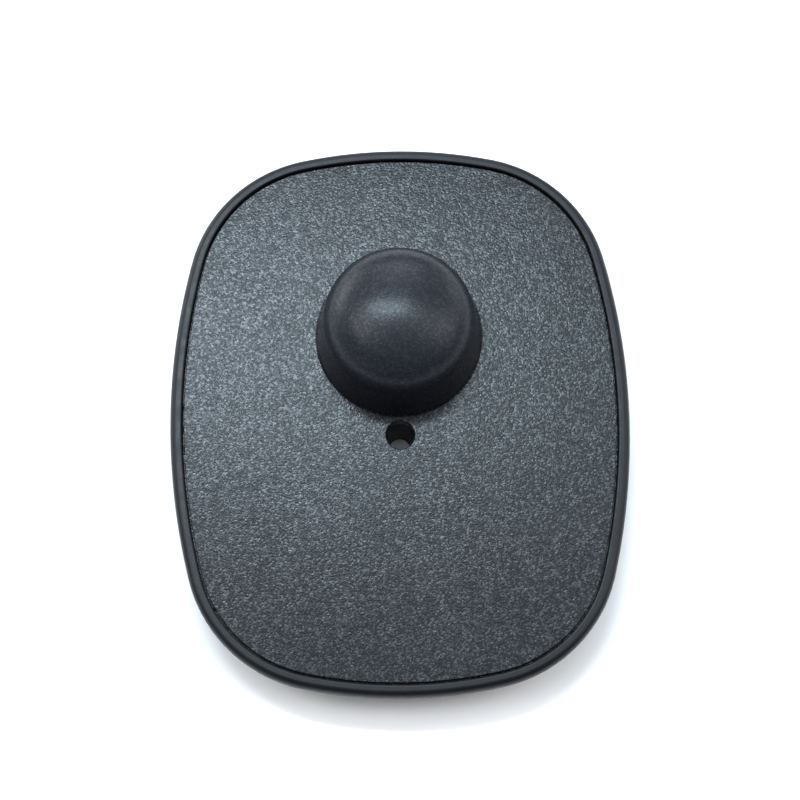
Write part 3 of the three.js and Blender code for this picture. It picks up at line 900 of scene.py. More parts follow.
@dataclass(frozen=True)
class Paper(Finish):
    """Plain white background paper."""

    def paint(self, wiring: Wiring, skin: bpy.types.Node, spot: bpy.types.NodeSocket) -> None:
        """Adds the paper's faint tooth.

        Args:
            wiring: The material's tree.
            skin: The shader whose inputs are fed.
            spot: The position on the object.
        """
        tooth = wiring.noise(spot, 0.4 * MM, 3, 0.6)
        wiring.feed(skin, {"Normal": wiring.bump(tooth, 0.01 * MM)})


# ------------------------------------------------------------------------------------------------
# The tag's outline and dome line
# ------------------------------------------------------------------------------------------------


@dataclass(frozen=True)
class Outline:
    """The case's outline: two side arcs, two end arcs and four corner arcs, all tangent.

    Attributes:
        width: Across X.
        length: Across Y.
        side_radius: Of the side arcs.
        end_radius: Of the end arcs.
        corner_radius: Of the corner arcs.
    """

    width: float
    length: float
    side_radius: float = 76.7 * MM
    end_radius: float = 53.1 * MM
    corner_radius: float = 16.6 * MM

    @classmethod
    def of_case(cls) -> "Outline":
        """Takes the width and length from the frame's rear case.

        Returns:
            The outline.
        """
        low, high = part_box("rear_case")
        return cls(width=high[0] - low[0], length=high[1] - low[1])

    def centres(self) -> tuple[Vector, Vector, Vector]:
        """Works out where the arcs' centres lie.

        Returns:
            The centres of the right side's, the top end's and the top right corner's arcs.
        """
        side = Vector((self.width / 2 - self.side_radius, 0))
        end = Vector((0, self.length / 2 - self.end_radius))
        from_side = self.side_radius - self.corner_radius
        from_end = self.end_radius - self.corner_radius
        apart = (end - side).length
        unit = (end - side).normalized()
        along = (from_side**2 - from_end**2 + apart**2) / (2 * apart)
        across = math.sqrt(from_side**2 - along**2)
        corner = side + unit * along + Vector((-unit.y, unit.x)) * across
        return side, end, corner

    def point(self, normal: float, inset: float = 0.0) -> Point:
        """Finds the outline's point with a given normal.

        Args:
            normal: The angle of the outward normal.
            inset: How far inwards the outline is moved.

        Returns:
            The point.
        """
        side, end, corner = self.centres()
        folded = math.atan2(abs(math.sin(normal)), abs(math.cos(normal)))
        side_to_corner = math.atan2((corner - side).y, (corner - side).x)
        corner_to_end = math.atan2((corner - end).y, (corner - end).x)
        centre, radius = corner, self.corner_radius
        if folded < side_to_corner:
            centre, radius = side, self.side_radius
        elif folded > corner_to_end:
            centre, radius = end, self.end_radius
        across = centre.x + (radius - inset) * math.cos(folded)
        up = centre.y + (radius - inset) * math.sin(folded)
        return math.copysign(across, math.cos(normal)), math.copysign(up, math.sin(normal))

    def walk(self, count: int, inset: float = 0.0, start: float = -math.pi / 2) -> list[Point]:
        """Walks once round the outline in equal steps, anticlockwise.

        Args:
            count: How many points to return.
            inset: How far inwards the outline is moved.
            start: The normal of the first point.

        Returns:
            The points.
        """
        samples = 7200
        fine = [self.point(start + TAU * i / samples, inset) for i in range(samples + 1)]
        travelled = [0.0]
        for before, after in zip(fine, fine[1:]):
            travelled.append(travelled[-1] + math.dist(before, after))
        points = []
        place_now = 0
        for i in range(count):
            target = travelled[-1] * i / count
            while travelled[place_now + 1] < target:
                place_now += 1
            gap = travelled[place_now + 1] - travelled[place_now]
            share = (target - travelled[place_now]) / gap
            first, second = fine[place_now], fine[place_now + 1]
            points.append(tuple(a + (b - a) * share for a, b in zip(first, second)))
        return points


@dataclass(frozen=True)
class DomeLine:
    """The dome's outer line: a leaning skirt, a shoulder arc and a crown arc, all tangent.

    Attributes:
        foot: The height of the plate that the dome stands on.
        top: The height of the crown.
        base_radius: The radius at the foot.
        draft: How far the skirt leans in, in radians.
        shoulder: The shoulder arc's radius.
        crown: The crown arc's radius.
    """

    foot: float
    top: float
    base_radius: float = 9.4 * MM
    draft: float = math.radians(8.5)
    shoulder: float = 4.9 * MM
    crown: float = 16 * MM

    def points(self, wall: float = 0.0, bottom: float | None = None, fillet: float = 0.0) -> list[Point]:
        """Works out the line from its base to its top.

        Args:
            wall: How far the line is moved inwards.
            bottom: The height where it starts, or the foot.
            fillet: The radius where the skirt meets the plate.

        Returns:
            Radius and height of each point, ending on the axis.
        """
        cos, sin = math.cos(self.draft), math.sin(self.draft)
        crown_height = self.top - self.crown
        start = self.base_radius - self.shoulder * cos
        start_up = self.foot - self.shoulder * sin - crown_height
        half = start_up * cos - start * sin
        reach = self.crown - self.shoulder
        rise = math.sqrt(half**2 - start**2 - start_up**2 + reach**2) - half
        centre = (start - rise * sin, crown_height + start_up + rise * cos)
        turn = math.degrees(math.atan2(centre[1] - crown_height, centre[0]))
        radius = self.shoulder - wall
        draft = math.degrees(self.draft)
        line = round_arc(centre, (radius, radius), draft, turn, 20)
        crown = self.crown - wall
        line += round_arc((0, crown_height), (crown, crown), turn, 90, 28)[1:]
        line[-1] = (0.0, line[-1][1])
        bottom = self.foot if bottom is None else bottom
        lean = math.tan(self.draft)
        foot_radius = line[0][0] + (line[0][1] - bottom) * lean
        if not fillet:
            return [(foot_radius, bottom), *line]
        # The fillet's circle touches the skirt and the plate
        centre_out = self.base_radius - fillet * lean + fillet / cos
        flare = round_arc((centre_out, self.foot + fillet), (fillet, fillet), 270, 180 + draft, 8)
        sunk = 0.02 * MM
        return [(centre_out, bottom), *[(r, z - sunk) for r, z in flare], *line]


# ------------------------------------------------------------------------------------------------
# Case
# ------------------------------------------------------------------------------------------------


@dataclass
class CaseMould:
    """The rear case: the tray with its rim, and what stands on its floor inside.

    Attributes:
        shop: The shared growing trees.
        outline: The case's outline.
        finish: The case's plastic.
        dome_axis: Where the dome and the clutch stand.
        floor_top: The height of the floor inside.
        widest: The height of the widest line.
        rim_height: The height of the rim.
        back_inset: How far in from the widest line the back's flat starts.
        crown_inset: How far in the rim's highest line is.
        lip_inset: How far in the rim's inner face is.
        lip_radius: The radius of the rim's inner edge.
        ledge_height: The height of the ledge that the cover rests on.
        ledge_inset: How far in the ledge ends.
        floor_inset: How far in the floor's flat starts.
        flat_inset: How far in the section ends.
        lanyard: Where the lanyard's boss stands.
        path_steps: How many steps go round the outline.
    """

    shop: Workshop
    outline: Outline
    finish: Finish
    dome_axis: Point
    floor_top: float = 1.6 * MM
    widest: float = 6.3 * MM
    rim_height: float = 7.3 * MM
    back_inset: float = 5 * MM
    crown_inset: float = 0.75 * MM
    lip_inset: float = 1.37 * MM
    lip_radius: float = 0.2 * MM
    ledge_height: float = 5.6 * MM
    ledge_inset: float = 2.6 * MM
    floor_inset: float = 4 * MM
    flat_inset: float = 8 * MM
    lanyard: Point = (0.0, -2.4 * MM)
    path_steps: int = 420

    def section(self) -> list[Point]:
        """Works out the tray's section from the back's flat to the floor's flat.

        Returns:
            Outward offset and height of each point.
        """
        side = round_arc((-self.back_inset, self.widest), (self.back_inset, self.widest), 270, 360, 26)
        across = self.crown_inset
        up = self.rim_height - self.widest
        rim = round_arc((-across, self.widest), (across, up), 0, 90, 12)
        radius = self.lip_radius
        lip_centre = (radius - self.lip_inset, self.rim_height - radius)
        lip = round_arc(lip_centre, (radius, radius), 90, 180, 5)
        corner = 0.9 * MM
        bend_centre = (-self.floor_inset, self.floor_top + corner)
        bend = round_arc(bend_centre, (self.floor_inset - self.ledge_inset - 0.3 * MM, corner), 0, -90, 6)
        return [
            (-self.flat_inset, 0.0),
            *side,
            *rim[1:],
            *lip,
            (-self.lip_inset, self.ledge_height),
            (-self.ledge_inset, self.ledge_height),
            *bend,
            (-self.flat_inset, self.floor_top),
        ]

    def socket(self) -> bpy.types.Object:
        """Turns the ring on the floor that the clutch stands in.

        Returns:
            The solid.
        """
        outside = in_mm((0, 1.5), (5.7, 1.5), (5.4, 2.1), (5.4, 6.25), (5.25, 6.4))
        profile = outside + in_mm((4.35, 6.4), (4.2, 6.25), (4.2, 4.3), (0, 4.3))
        return self.shop.turned("helper_socket", profile, self.dome_axis, self.finish.material())

    def boss(self, centre: Point, radius: float, top: float) -> bpy.types.Object:
        """Turns a round post with a flared foot.

        Args:
            centre: Where it stands.
            radius: Its radius.
            top: The height of its top.

        Returns:
            The solid.
        """
        chamfer = 0.1 * MM
        foot = self.floor_top - chamfer
        flare = 0.35 * MM
        profile = [
            (0.0, foot),
            (radius + flare, foot),
            *round_arc((radius + flare, self.floor_top + flare), (flare, flare), 270, 180, 5),
            (radius, top - chamfer),
            (radius - chamfer, top),
            (0.0, top),
        ]
        return self.shop.turned("helper_post", profile, centre, self.finish.material(), segments=48)

    def coil_ribs(self) -> bpy.types.Object:
        """Stands the eight low ribs that keep the coil against the wall.

        Returns:
            The ribs, as one object.
        """
        normals = [math.radians(angle) for angle in (6, 80, 100, 174, 186, 260, 280, 354)]
        inset = 7.4 * MM
        size = (3 * MM, 0.8 * MM, 1.9 * MM)
        height = 3.4 * MM - size[2] / 2
        path = polyline([(*self.outline.point(normal, inset), height) for normal in normals], closed=True)
        return self.shop.blocks.grow("helper_ribs", path, Block_Size=size, Material=self.finish.material())

    def pin_way(self) -> bpy.types.Object:
        """Turns what is cut away for the pin: the back's recess, the funnel and the bore.

        Returns:
            The solid to take away.
        """
        recess, depth, edge = 7 * MM, 0.4 * MM, 0.12 * MM
        mouth, round_over = 2.1 * MM, 0.2 * MM
        profile = [
            (0.0, -MM),
            (recess + edge, -MM),
            (recess + edge, 0.0),
            *round_arc((recess + edge, edge), (edge, edge), 270, 180, 4),
            (recess, depth),
            (mouth, depth),
            *round_arc((mouth, depth + round_over), (round_over, round_over), 270, 210, 4)[1:],
            *in_mm((0.9, 1.4), (0.9, 5), (0, 5)),
        ]
        return self.shop.turned("helper_pin_way", profile, self.dome_axis, self.finish.material())

    def lanyard_way(self) -> bpy.types.Object:
        """Turns the lanyard hole's tapered inside.

        Returns:
            The solid to take away.
        """
        narrow, wide, height = 1.2, 1.63, 5.6
        slope = (wide - narrow) / height
        mouth = narrow * MM + 0.25 * MM
        profile = [
            (0.0, -MM),
            (mouth, -MM),
            (mouth, 0.0),
            (narrow * MM + 0.02 * MM, 0.2 * MM),
            *in_mm((wide + slope, height + 1), (0, height + 1)),
        ]
        return self.shop.turned("helper_lanyard", profile, self.lanyard, self.finish.material(), segments=64)

    def gate_mark(self) -> bpy.types.Object:
        """Turns the small dimple with a nib that the mould's gate leaves on the back.

        Returns:
            The solid to take away.
        """
        nib = in_mm((0.55, 0.2), (0.45, 0.06), (0, 0.05))
        profile = in_mm((0, -1), (1.5, -1), (1.5, 0), (1.3, 0.18)) + nib
        spot = (0.0, -17.5 * MM)
        return self.shop.turned("helper_gate", profile, spot, self.finish.material(), segments=48)

    def ejector_mark(self, centre: Point) -> bpy.types.Object:
        """Turns the shallow round mark that an ejector pin leaves on the back.

        Args:
            centre: Where it is.

        Returns:
            The solid to take away.
        """
        depth = 0.07 * MM
        radius = 2 * MM
        profile = [(0.0, -MM), (radius, -MM), (radius, 0.0), (radius - 0.05 * MM, depth), (0.0, depth)]
        return self.shop.turned("helper_ejector", profile, centre, self.finish.material(), segments=48)

    def build(self) -> list[bpy.types.Object]:
        """Makes the case, dresses it and ties it to the frame.

        Returns:
            The pieces made.
        """
        material = self.finish.material()
        path = self.outline.walk(self.path_steps)
        tray = self.shop.swept("rear_case_shell", path, self.section(), material)
        top = self.ledge_height
        standing = [self.socket(), self.boss(self.lanyard, 2.6 * MM, top), self.coil_ribs()]
        post_x, post_y = 13 * MM, 17 * MM
        spots = [(post_x, post_y), (-post_x, post_y), (-post_x, -post_y), (post_x, -post_y)]
        standing += [self.boss(spot, 1.3 * MM, top) for spot in spots]
        for solid in standing:
            combine(tray, solid, Join.UNION)
        marks = [self.ejector_mark((x * 1.15, y * 1.05)) for x, y in spots]
        for solid in [self.pin_way(), self.lanyard_way(), self.gate_mark(), *marks]:
            combine(tray, solid, Join.CUT)
        shade(tray)
        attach(tray, "tag")
        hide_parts("rear_case")
        return [tray]


@dataclass
class CoverMould:
    """The front cover: the grained plate set into the rim, and the dome with its inner ribs.

    Attributes:
        shop: The shared growing trees.
        outline: The case's outline.
        finish: The cover's plastic.
        flash_finish: The finish of the weld's flash.
        dome_axis: Where the dome stands.
        dome: The dome's line.
        bottom: The height of the plate's underside.
        seam_depth: How deep the seam round the plate is.
        skirt_inset: How far in the plate's side is below the seam.
        edge_inset: How far in the plate's side is at the seam.
        edge_radius: The radius of the plate's edge.
        flash_depth: How far below the plate's face the flash sits.
        flat_inset: How far in the section ends.
        wall: How thick the dome is.
        rib_count: How many ribs it has inside.
        rib_thickness: How thick they are.
        lanyard: Where the lanyard's hole is.
        lanyard_radius: The hole's radius.
        path_steps: How many steps go round the outline.
    """

    shop: Workshop
    outline: Outline
    finish: Finish
    flash_finish: Finish
    dome_axis: Point
    dome: DomeLine
    bottom: float = 5.65 * MM
    seam_depth: float = 0.8 * MM
    skirt_inset: float = 1.42 * MM
    edge_inset: float = 1.6 * MM
    edge_radius: float = 0.08 * MM
    flash_depth: float = 0.3 * MM
    flat_inset: float = 6 * MM
    wall: float = 1.4 * MM
    rib_count: int = 6
    rib_thickness: float = 0.8 * MM
    lanyard: Point = (0.0, -2.4 * MM)
    lanyard_radius: float = 1.63 * MM
    path_steps: int = 420

    def section(self) -> list[Point]:
        """Works out the plate's section from its underside's flat to its face's flat.

        Returns:
            Outward offset and height of each point.
        """
        top = self.dome.foot
        radius = self.edge_radius
        edge = round_arc((-self.edge_inset - radius, top - radius), (radius, radius), 0, 90, 5)
        return [
            (-self.flat_inset, self.bottom),
            (-self.skirt_inset, self.bottom),
            (-self.skirt_inset, top - self.seam_depth),
            (-self.edge_inset, top - self.seam_depth),
            *edge,
            (-self.flat_inset, top),
        ]

    def ribs(self) -> bpy.types.Object:
        """Makes the ribs inside the dome, each with a toe that holds the clutch's cap down.

        Returns:
            The ribs, as one object.
        """
        inner, toe = 5.85 * MM, 4.5 * MM
        foot, toe_height = 8 * MM, 13.95 * MM
        outer = [point for point in self.dome.points(self.wall / 2, foot) if point[0] > toe]
        outline = [(inner, foot), *outer, (toe, toe_height), (inner, toe_height)]
        half = self.rib_thickness / 2
        count = len(outline)
        verts = [(r, side, z) for side in (-half, half) for r, z in outline]
        faces = [tuple(range(count))[::-1], tuple(range(count, 2 * count))]
        faces += [(i, (i + 1) % count, count + (i + 1) % count, count + i) for i in range(count)]
        mesh = bpy.data.meshes.new("helper_rib")
        mesh.from_pydata(verts, [], faces)
        rib, axis = place("helper_rib", mesh), (*self.dome_axis, 0.0)
        material = self.finish.material()
        ribs = self.shop.ribs.grow("helper_ribs", rib, Rib_Count=self.rib_count, Axis=axis, Material=material)
        return close_flat(ribs)

    def lanyard_hole(self) -> bpy.types.Object:
        """Turns the lanyard hole with a slightly broken edge.

        Returns:
            The solid to take away.
        """
        top = self.dome.foot
        edge = 0.08 * MM
        profile = [
            (0.0, self.bottom - MM),
            (self.lanyard_radius, self.bottom - MM),
            (self.lanyard_radius, top - edge),
            (self.lanyard_radius + edge, top),
            (self.lanyard_radius + edge, top + MM),
            (0.0, top + MM),
        ]
        return self.shop.turned("helper_hole", profile, self.lanyard, self.finish.material(), segments=72)

    def flash(self) -> bpy.types.Object:
        """Scatters the weld's flash along the seam.

        Returns:
            The beads, as one object.
        """
        inset = (self.edge_inset + self.skirt_inset) / 2
        height = self.dome.foot - self.flash_depth
        path = polyline([(*spot, height) for spot in self.outline.walk(200, inset)], closed=True)
        beads = {"Bead_Count": 70, "Smallest": 0.03 * MM, "Largest": 0.11 * MM, "Seed": 11}
        return self.shop.flash.grow("weld_flash", path, **beads, Material=self.flash_finish.material())

    def build(self) -> list[bpy.types.Object]:
        """Makes the cover and the seam's flash, dresses them and ties them to the frame.

        Returns:
            The pieces made.
        """
        material = self.finish.material()
        path = self.outline.walk(self.path_steps)
        cover = self.shop.swept("front_cover_shell", path, self.section(), material)
        axis = self.dome_axis
        outer = self.dome.points(bottom=self.bottom, fillet=0.3 * MM)
        solid = [(0.0, self.bottom + 0.1 * MM), *outer]
        dome = self.shop.turned("helper_dome", solid, axis, material, segments=160)
        combine(cover, dome, Join.UNION)
        inner = [(0.0, self.bottom - MM), *self.dome.points(self.wall, self.bottom - MM)]
        hollow = self.shop.turned("helper_hollow", inner, axis, material)
        combine(cover, hollow, Join.CUT)
        combine(cover, self.ribs(), Join.UNION)
        combine(cover, self.lanyard_hole(), Join.CUT)
        shade(cover)
        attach(cover, "tag")
        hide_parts("front_cover")
        flash = shade(self.flash(), 60)
        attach(flash, "tag")
        return [cover, flash]


# ------------------------------------------------------------------------------------------------
# Ball clutch
# ------------------------------------------------------------------------------------------------


@dataclass
class BallClutch:
    """The steel clutch in the dome: bell, cap, carrier, three balls and a spring.

    Attributes:
        shop: The shared growing trees.
        axis: Where the clutch stands.
        steel: The turned and plated steel.
        polished: The balls' steel.
        sprung: The spring's steel.
        ball_radius: A ball's radius.
        ball_pitch: How far the balls' middles are from the axis.
        ball_height: The height of their middles.
        ball_play: The gap between a resting ball and the cone.
        cone_angle: How far the cone leans.
        edge: The width of the broken edges.
        wire_radius: The spring wire's radius.
        spring_radius: The spring's radius to the wire's middle.
        spring_turns: How many turns it has.
    """

    shop: Workshop
    axis: Point
    steel: Finish
    polished: Finish
    sprung: Finish
    ball_radius: float = 1.1 * MM
    ball_pitch: float = 1.33 * MM
    ball_height: float = 6.6 * MM
    ball_play: float = 0.05 * MM
    cone_angle: float = math.radians(18)
    edge: float = 0.07 * MM
    wire_radius: float = 0.17 * MM
    spring_radius: float = 2.6 * MM
    spring_turns: float = 4.5

    def cone_radius(self, height: float) -> float:
        """Returns the cone's radius at a height, so that a resting ball keeps its play."""
        at_ball = self.ball_pitch + (self.ball_radius + self.ball_play) / math.cos(self.cone_angle)
        return at_ball + (height - self.ball_height) * math.tan(self.cone_angle)

    def ring(self, name: str, profile: Sequence[Point]) -> bpy.types.Object:
        """Turns a ring of plated steel with softened edges.

        Args:
            name: The piece's name.
            profile: Radius and height of each point.

        Returns:
            The ring.
        """
        piece = self.shop.turned(name, profile, self.axis, self.steel.material(), ring=True, segments=128)
        return shade(soften_edges(piece, self.edge))

    def bell(self) -> bpy.types.Object:
        """Turns the bell with its cone.

        Returns:
            The bell.
        """
        top, floor = 8.4, 4.8
        cone = [(self.cone_radius(height * MM) / MM, height) for height in (top, floor)]
        outside = [(1.0, 4.35), (4.1, 4.35), (4.1, 6.5), (5.0, 7.6), (5.0, 12.55), (5.7, 12.55)]
        inside = [(5.7, 13.2), (4.3, 13.2), (4.3, top), *cone, (1.0, floor)]
        return self.ring("bell_turned", in_mm(*outside, *inside))

    def cap(self) -> bpy.types.Object:
        """Turns the cap with its spigot.

        Returns:
            The cap.
        """
        spigot = [(0.9, 12.9), (4.2, 12.9), (4.2, 13.25)]
        return self.ring("cap_turned", in_mm(*spigot, (5.7, 13.25), (5.7, 13.85), (0.9, 13.85)))

    def carrier(self) -> bpy.types.Object:
        """Turns the carrier and cuts its three windows.

        Returns:
            The carrier.
        """
        nose = in_mm((0.75, 5.05), (1.95, 5.05), (1.95, 8.8), (3.95, 8.8))
        profile = nose + in_mm((3.95, 9.5), (1.9, 9.5), (1.9, 10.3), (0.75, 10.3))
        bore = in_mm((0, 0), (1.17, 0), (1.17, 4), (0, 4))
        material = self.steel.material()
        piece = self.shop.turned("carrier_turned", profile, self.axis, material, ring=True)
        for angle in self.ball_angles():
            window = self.shop.turned("helper_window", bore, (0, 0), material)
            turn = Matrix.Rotation(angle, 4, "Z") @ Matrix.Rotation(math.pi / 2, 4, "Y")
            window.data.transform(Matrix.Translation((*self.axis, self.ball_height)) @ turn)
            combine(piece, window, Join.CUT)
        return shade(soften_edges(piece, self.edge * 0.6, 1))

    def ball_angles(self) -> list[float]:
        """Returns the balls' directions round the axis."""
        return [math.pi / 2 + TAU * i / 3 for i in range(3)]

    def ball(self, index: int, angle: float) -> bpy.types.Object:
        """Makes a lapped ball with a faint ripple on its surface.

        Args:
            index: The ball's number from 0.
            angle: Its direction round the axis.

        Returns:
            The ball.
        """
        mesh = bpy.data.meshes.new(f"ball_{index + 1}")
        shape = bmesh.new()
        bmesh.ops.create_icosphere(shape, subdivisions=5, radius=self.ball_radius)
        offset = Vector((math.cos(angle), math.sin(angle), 0)) * self.ball_pitch
        centre = Vector((*self.axis, self.ball_height)) + offset
        for vert in shape.verts:
            ripple = noise.noise(vert.co * 4000 + Vector((index, 0, 0)))
            vert.co *= 1 + 0.0004 * ripple
            vert.co += centre
        shape.to_mesh(mesh)
        shape.free()
        mesh.materials.append(self.polished.material())
        return shade(place(f"ball_{index + 1}_lapped", mesh), 60)

    def spring(self) -> bpy.types.Object:
        """Winds the spring, with its end turns closed up.

        Returns:
            The spring.
        """
        low, high = 9.6 * MM + self.wire_radius, 12.85 * MM - self.wire_radius
        steps = 220
        path = []
        for i in range(steps + 1):
            share = i / steps
            eased = share - 0.6 * math.sin(TAU * share) / TAU
            angle = TAU * self.spring_turns * share
            across = self.axis[0] + self.spring_radius * math.cos(angle)
            along = self.axis[1] + self.spring_radius * math.sin(angle)
            path.append((across, along, low + (high - low) * eased))
        size = {"Wire_Radius": self.wire_radius, "Sides": 14}
        piece = self.shop.wire.grow("spring_wound", polyline(path), **size, Material=self.sprung.material())
        return shade(close_flat(piece), 50)

    def build(self) -> list[bpy.types.Object]:
        """Makes the clutch's pieces, dresses them and ties them to the frame.

        Returns:
            The pieces made.
        """
        bell, cap, carrier, spring = self.bell(), self.cap(), self.carrier(), self.spring()
        ties = [
            (bell, "tag", self.steel, "clutch_bell"),
            (cap, "tag", self.steel, "clutch_cap"),
            (carrier, "carrier", self.steel, "ball_carrier"),
            (spring, "tag", self.sprung, "clutch_spring"),
        ]
        for index, angle in enumerate(self.ball_angles()):
            number = index + 1
            ties.append((self.ball(index, angle), f"ball_{number}", self.polished, f"steel_ball_{number}"))
        for piece, body, finish, node in ties:
            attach(piece, body)
            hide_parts(node)
        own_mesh(spring)
        return [piece for piece, *_ in ties]


# ------------------------------------------------------------------------------------------------
# Radio circuit
# ------------------------------------------------------------------------------------------------


@dataclass
class RadioCircuit:
    """The wound coil, its capacitor and leads, the solder, and the glue that holds them.

    Attributes:
        shop: The shared growing trees.
        outline: The case's outline, which the coil follows.
        copper: The coil wire's enamelled copper.
        coat: The capacitor's coat.
        tin: The leads' tin.
        solder: The joints' solder.
        glue: The hot-melt glue.
        columns: How many turns lie side by side.
        rows: How many layers they make.
        pitch: The distance between neighbouring turns.
        wire_radius: The coil wire's radius.
        inner_inset: How far in the innermost turn is.
        lowest: The height of the lowest layer.
        turn_steps: How many steps a turn has.
        tail_x: How far the tails are from the middle line.
        tail_height: Their height.
        joint_y: Where the solder joints are.
        capacitor_y: Where the capacitor is.
        capacitor_radius: The capacitor's radius.
        floor_top: The height of the case's floor.
    """

    shop: Workshop
    outline: Outline
    copper: Finish
    coat: Finish
    tin: Finish
    solder: Finish
    glue: Finish
    columns: int = 5
    rows: int = 4
    pitch: float = 0.47 * MM
    wire_radius: float = 0.22 * MM
    inner_inset: float = 6.45 * MM
    lowest: float = 1.95 * MM
    turn_steps: int = 150
    tail_x: float = 1.6 * MM
    tail_height: float = 2.7 * MM
    joint_y: float = -20 * MM
    capacitor_y: float = -14.6 * MM
    capacitor_radius: float = 2.6 * MM
    floor_top: float = 1.6 * MM

    def slots(self) -> list[Point]:
        """Works out where the turns lie, wound to and fro so that both ends are innermost.

        Returns:
            Each turn's inset and height.
        """
        slots = []
        for row in range(self.rows):
            order = range(self.columns) if row % 2 == 0 else reversed(range(self.columns))
            for column in order:
                height = self.lowest + row * self.pitch
                slots.append((self.inner_inset - column * self.pitch, height))
        return slots

    def winding(self) -> list[tuple[float, float, float]]:
        """Works out the coil wire's whole path, from one tail through every turn to the other.

        Returns:
            The path's points.
        """
        base = self.outline.walk(self.turn_steps)
        normals = []
        for i in range(self.turn_steps):
            before, after = base[i - 1], base[(i + 1) % self.turn_steps]
            along = Vector((after[0] - before[0], after[1] - before[1])).normalized()
            normals.append(Vector((along.y, -along.x)))
        slots = self.slots()
        change = 6
        path: list[tuple[float, float, float]] = []
        for turn, (inset, height) in enumerate(slots):
            following = slots[min(turn + 1, len(slots) - 1)]
            for i in range(self.turn_steps):
                share = max(0.0, (i - self.turn_steps + change) / change)
                eased = share * share * (3 - 2 * share)
                now_inset = inset + (following[0] - inset) * eased
                now_height = height + (following[1] - height) * eased
                spot = Vector(base[i]) - normals[i] * now_inset
                path.append((spot.x, spot.y, now_height))
        return [*self.tail(-1, path[0]), *path, *reversed(self.tail(1, path[-1]))]

    def tail(self, side: int, coil_end: tuple[float, float, float]) -> list[tuple[float, float, float]]:
        """Works out a tail, from its solder joint to just short of the coil's end.

        Args:
            side: -1 for the left tail or 1 for the right one.
            coil_end: Where the coil's turns start or end.

        Returns:
            The tail's points, starting at the joint.
        """
        start = Vector((side * self.tail_x, self.joint_y - 0.2 * MM, self.tail_height))
        end = Vector(coil_end) + Vector((side * 0.6 * MM, 0, 0))
        corner = Vector((side * self.tail_x, end.y, end.z))
        bend = Vector((side * self.tail_x, end.y + 1.4 * MM, end.z))
        points = [start, start.lerp(bend, 0.5), bend]
        for i in range(1, 8):
            share = i / 8
            first, second = bend.lerp(corner, share), corner.lerp(end, share)
            points.append(first.lerp(second, share))
        return [tuple(point) for point in points]

    def wire(
        self, name: str, path: Sequence[Sequence[float]], radius: float, finish: Finish
    ) -> bpy.types.Object:
        """Draws a wire along a path, with closed ends.

        Args:
            name: The piece's name.
            path: The path's points.
            radius: The wire's radius.
            finish: The wire's metal.

        Returns:
            The wire.
        """
        size = {"Wire_Radius": radius, "Sides": 10}
        piece = self.shop.wire.grow(name, polyline(path), **size, Material=finish.material())
        return shade(close_flat(piece), 50)

    def capacitor(self) -> bpy.types.Object:
        """Makes the dipped disc with its lumps.

        Returns:
            The capacitor's body.
        """
        low, high = self.floor_top + 0.05 * MM, self.floor_top + 2.05 * MM
        edge = 0.8 * MM
        flat = self.capacitor_radius - edge
        middle = (low + high) / 2
        swell = 0.12 * MM
        profile = [
            (0.0, low),
            (flat, low + swell),
            *round_arc((flat, middle), (edge, middle - low - swell), 270, 450, 24)[1:-1],
            (flat, high - swell),
            (0.0, high),
        ]
        centre = (0.0, self.capacitor_y)
        piece = self.shop.turned("capacitor_dipped", profile, centre, self.coat.material())

        def lumps(mesh: bmesh.types.BMesh) -> None:
            """Subdivides the disc and pushes it about a little.

            Args:
                mesh: The disc's mesh.
            """
            bmesh.ops.subdivide_edges(mesh, edges=mesh.edges, cuts=1, use_grid_fill=True)
            middle_point = Vector((*centre, middle))
            for vert in mesh.verts:
                amount = noise.noise(vert.co * 900) * 0.03 * MM
                vert.co += (vert.co - middle_point).normalized() * amount
                vert.co.z = max(vert.co.z, low)

        return shade(edit(piece, lumps), 70)

    def lead(self, side: int) -> bpy.types.Object:
        """Bends a capacitor lead out to its joint.

        Args:
            side: -1 for the left lead or 1 for the right one.

        Returns:
            The lead.
        """
        root = Vector((side * 1.25 * MM, self.capacitor_y - 2.2 * MM, self.tail_height))
        end = Vector((side * self.tail_x, self.joint_y + 0.2 * MM, self.tail_height))
        handles = (root - Vector((0, MM, 0)), end + Vector((0, MM, 0)))
        steps = 24
        path = []
        for i in range(steps + 1):
            t = i / steps
            outer = root * (1 - t) ** 3 + handles[0] * (3 * t * (1 - t) ** 2)
            path.append(tuple(outer + handles[1] * (3 * t * t * (1 - t)) + end * t**3))
        name = "lead_left_bent" if side < 0 else "lead_right_bent"
        return self.wire(name, path, 0.24 * MM, self.tin)

    def joint(self, side: int) -> bpy.types.Object:
        """Makes a solder joint: a spindle whose ends creep up the wires.

        Args:
            side: -1 for the left joint or 1 for the right one.

        Returns:
            The joint.
        """
        length, thick, thin = 2.1 * MM, 0.6 * MM, 0.23 * MM
        profile = [(0.0, -length / 2)]
        steps = 28
        for i in range(steps + 1):
            along = 2 * i / steps - 1
            radius = thin + (thick - thin) * math.cos(along * math.pi / 2) ** 1.6
            profile.append((radius, along * length / 2))
        profile.append((0.0, length / 2))
        name = "solder_left_set" if side < 0 else "solder_right_set"
        piece = self.shop.turned(name, profile, (0, 0), self.solder.material(), segments=48)

        def lie_down(mesh: bmesh.types.BMesh) -> None:
            """Turns the spindle along Y, makes it uneven and moves it to its place.

            Args:
                mesh: The spindle's mesh.
            """
            turn = Matrix.Translation((side * self.tail_x, self.joint_y, self.tail_height))
            turn = turn @ Matrix.Rotation(math.pi / 2, 4, "X")
            for vert in mesh.verts:
                uneven = 1 + 0.12 * noise.noise(vert.co * 1500 + Vector((side, 0, 0)))
                vert.co = turn @ Vector((vert.co.x * uneven, vert.co.y * uneven, vert.co.z))

        return shade(edit(piece, lie_down), 60)

